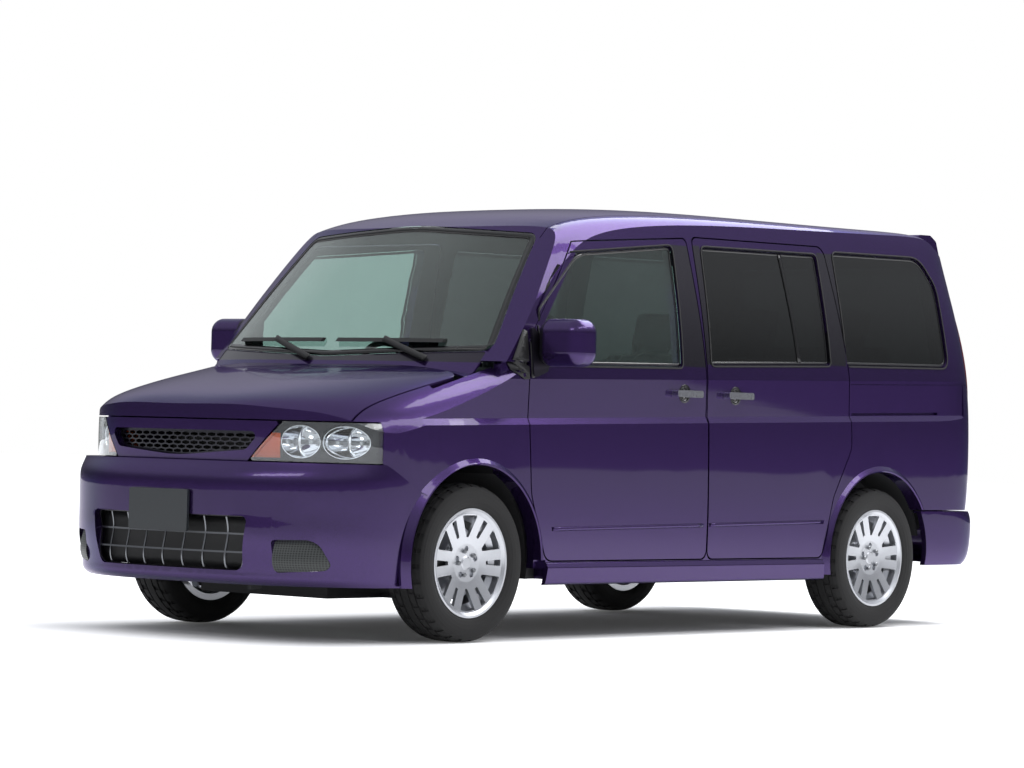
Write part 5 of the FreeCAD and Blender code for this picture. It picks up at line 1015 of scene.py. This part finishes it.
def make_floor():
    """Pale floor that brightens for the camera away from the car; the darker floor round the car's footprint
    is partly rendered shadow and partly painted shadow.
    """
    shape = bmesh.new()
    bmesh.ops.create_grid(shape, x_segments=8, y_segments=8, size=floor_half_size)
    mesh = bpy.data.meshes.new("pale_floor")
    shape.to_mesh(mesh)
    shape.free()
    floor = new_object("pale_floor", mesh)
    # White studio floor: matt paint, faintly uneven over 900 mm
    material, tree, shader = new_material("white_studio_floor", Roughness=0.9)
    patches = grain(tree, 900.0, 2.0)
    vary(tree, shader, "Base Color", patches.outputs[0], hue("#f1f1f2"), hue("#f5f5f6"))
    rays = add(tree, "ShaderNodeLightPath").outputs
    seen = add(tree, "ShaderNodeMath", {0: rays["Is Camera Ray"], 1: rays["Is Glossy Ray"]},
               operation="MAXIMUM")
    seen = add(tree, "ShaderNodeMath", {0: seen.outputs[0], 1: rays["Is Transmission Ray"]},
               operation="MAXIMUM")
    # Under the car the lift fades out, so that the contact shadow stays dark; this darker place in the
    # footprint's shape is partly rendered and partly painted shadow
    place = add(tree, "ShaderNodeTexCoord").outputs["Object"]
    out = add(tree, "ShaderNodeVectorMath", {0: place}, operation="ABSOLUTE")
    beyond = add(tree, "ShaderNodeVectorMath", {0: out.outputs[0], 1: painted_shadow_half_size}, operation="SUBTRACT")
    beyond = add(tree, "ShaderNodeVectorMath", {0: beyond.outputs[0], 1: (0.0, 0.0, 0.0)},
                 operation="MAXIMUM")
    away = add(tree, "ShaderNodeVectorMath", {0: beyond.outputs[0]}, operation="LENGTH")
    near = add(tree, "ShaderNodeMapRange",
               {"Value": away.outputs["Value"], "From Min": 0.0, "From Max": painted_shadow_fade,
                "To Min": painted_shadow_lift, "To Max": greatest_lift}, interpolation_type="SMOOTHSTEP")
    lift = add(tree, "ShaderNodeEmission", {"Color": white, "Strength": near.outputs[0]})
    plain = add(tree, "ShaderNodeAddShader", {0: shader.outputs[0], 1: lift.outputs[0]})
    both = add(tree, "ShaderNodeMixShader", {0: seen.outputs[0], 1: shader.outputs[0], 2: plain.outputs[0]})
    output = next(n for n in tree.nodes if n.type == "OUTPUT_MATERIAL")
    tree.links.new(both.outputs[0], output.inputs["Surface"])
    mesh.materials.append(material)


def make_light(name, size_x, size_y, power, place, target):
    """Rectangular soft light at a place, turned to a target."""
    lamp = bpy.data.lights.new(name, "AREA")
    lamp.shape = "RECTANGLE"
    lamp.size = size_x
    lamp.size_y = size_y
    lamp.energy = power
    holder = new_object(name, lamp)
    holder.location = place
    holder.rotation_euler = (Vector(target) - Vector(place)).to_track_quat("-Z", "Y").to_euler()


def make_world():
    """White for the camera and through glass; mirrored rays see a studio's lit ceiling."""
    world = bpy.data.worlds.new("studio_world")
    world.use_nodes = True
    tree = world.node_tree
    tree.nodes.clear()
    rays = add(tree, "ShaderNodeLightPath").outputs
    seen = add(tree, "ShaderNodeMath", {0: rays["Is Camera Ray"], 1: rays["Is Transmission Ray"]},
               operation="MAXIMUM")
    # Mirrored light: bright overhead, dimmer towards the horizon
    high = add(tree, "ShaderNodeSeparateXYZ", {0: add(tree, "ShaderNodeTexCoord").outputs["Generated"]})
    sky = add(tree, "ShaderNodeMapRange",
              {"Value": high.outputs[2], "From Min": 0.04, "From Max": 0.50, "To Min": 0.14, "To Max": 1.0},
              interpolation_type="SMOOTHSTEP")
    plain = add(tree, "ShaderNodeBackground", {"Color": white, "Strength": 1.0})
    soft = add(tree, "ShaderNodeBackground", {"Color": hue("#e9ecf2"), "Strength": sky.outputs[0]})
    both = add(tree, "ShaderNodeMixShader", {0: seen.outputs[0], 1: soft.outputs[0], 2: plain.outputs[0]})
    add(tree, "ShaderNodeOutputWorld", {"Surface": both.outputs[0]})
    bpy.context.scene.world = world


# Camera as solved from the photograph: angles in radians, lens in pixels, film in mm, place in metres
yaw, pitch, roll = 0.71033, -0.01383, 0.02732
focal_pixels, photo_width, film_width = 3681.5, 1024, 36.0
camera_place = (10.5617, -12.4795, 0.8387)


def make_camera():
    """Camera with the photograph's place, direction and lens."""
    ahead = Vector((-math.sin(yaw) * math.cos(pitch), math.cos(yaw) * math.cos(pitch), -math.sin(pitch)))
    right = ahead.cross(Vector((0, 0, 1))).normalized()
    up = right.cross(ahead)
    turned_right = math.cos(roll) * right + math.sin(roll) * up
    turned_up = -math.sin(roll) * right + math.cos(roll) * up
    lens = bpy.data.cameras.new("photo_camera")
    lens.sensor_width = film_width
    lens.sensor_fit = "HORIZONTAL"
    lens.lens = focal_pixels * film_width / photo_width
    lens.clip_end = 200.0
    holder = new_object("photo_camera", lens)
    turn = Matrix((turned_right, turned_up, -ahead)).transposed().to_4x4()
    holder.matrix_world = Matrix.Translation(camera_place) @ turn
    bpy.context.scene.camera = holder


make_floor()
make_light("overhead_softbox", 5.0, 3.2, 330.0, (1.0, 2.7, 5.0), (0, 0, 0.5))
make_light("left_softbox", 7.0, 0.7, 85.0, (4.4, 0.3, 4.4), (0, 0, 1.0))
make_light("front_softbox", 3.0, 0.9, 55.0, (1.0, -6.5, 4.2), (0, -1.5, 0.8))
make_world()
make_camera()

bpy.context.scene.view_settings.view_transform = "Standard"
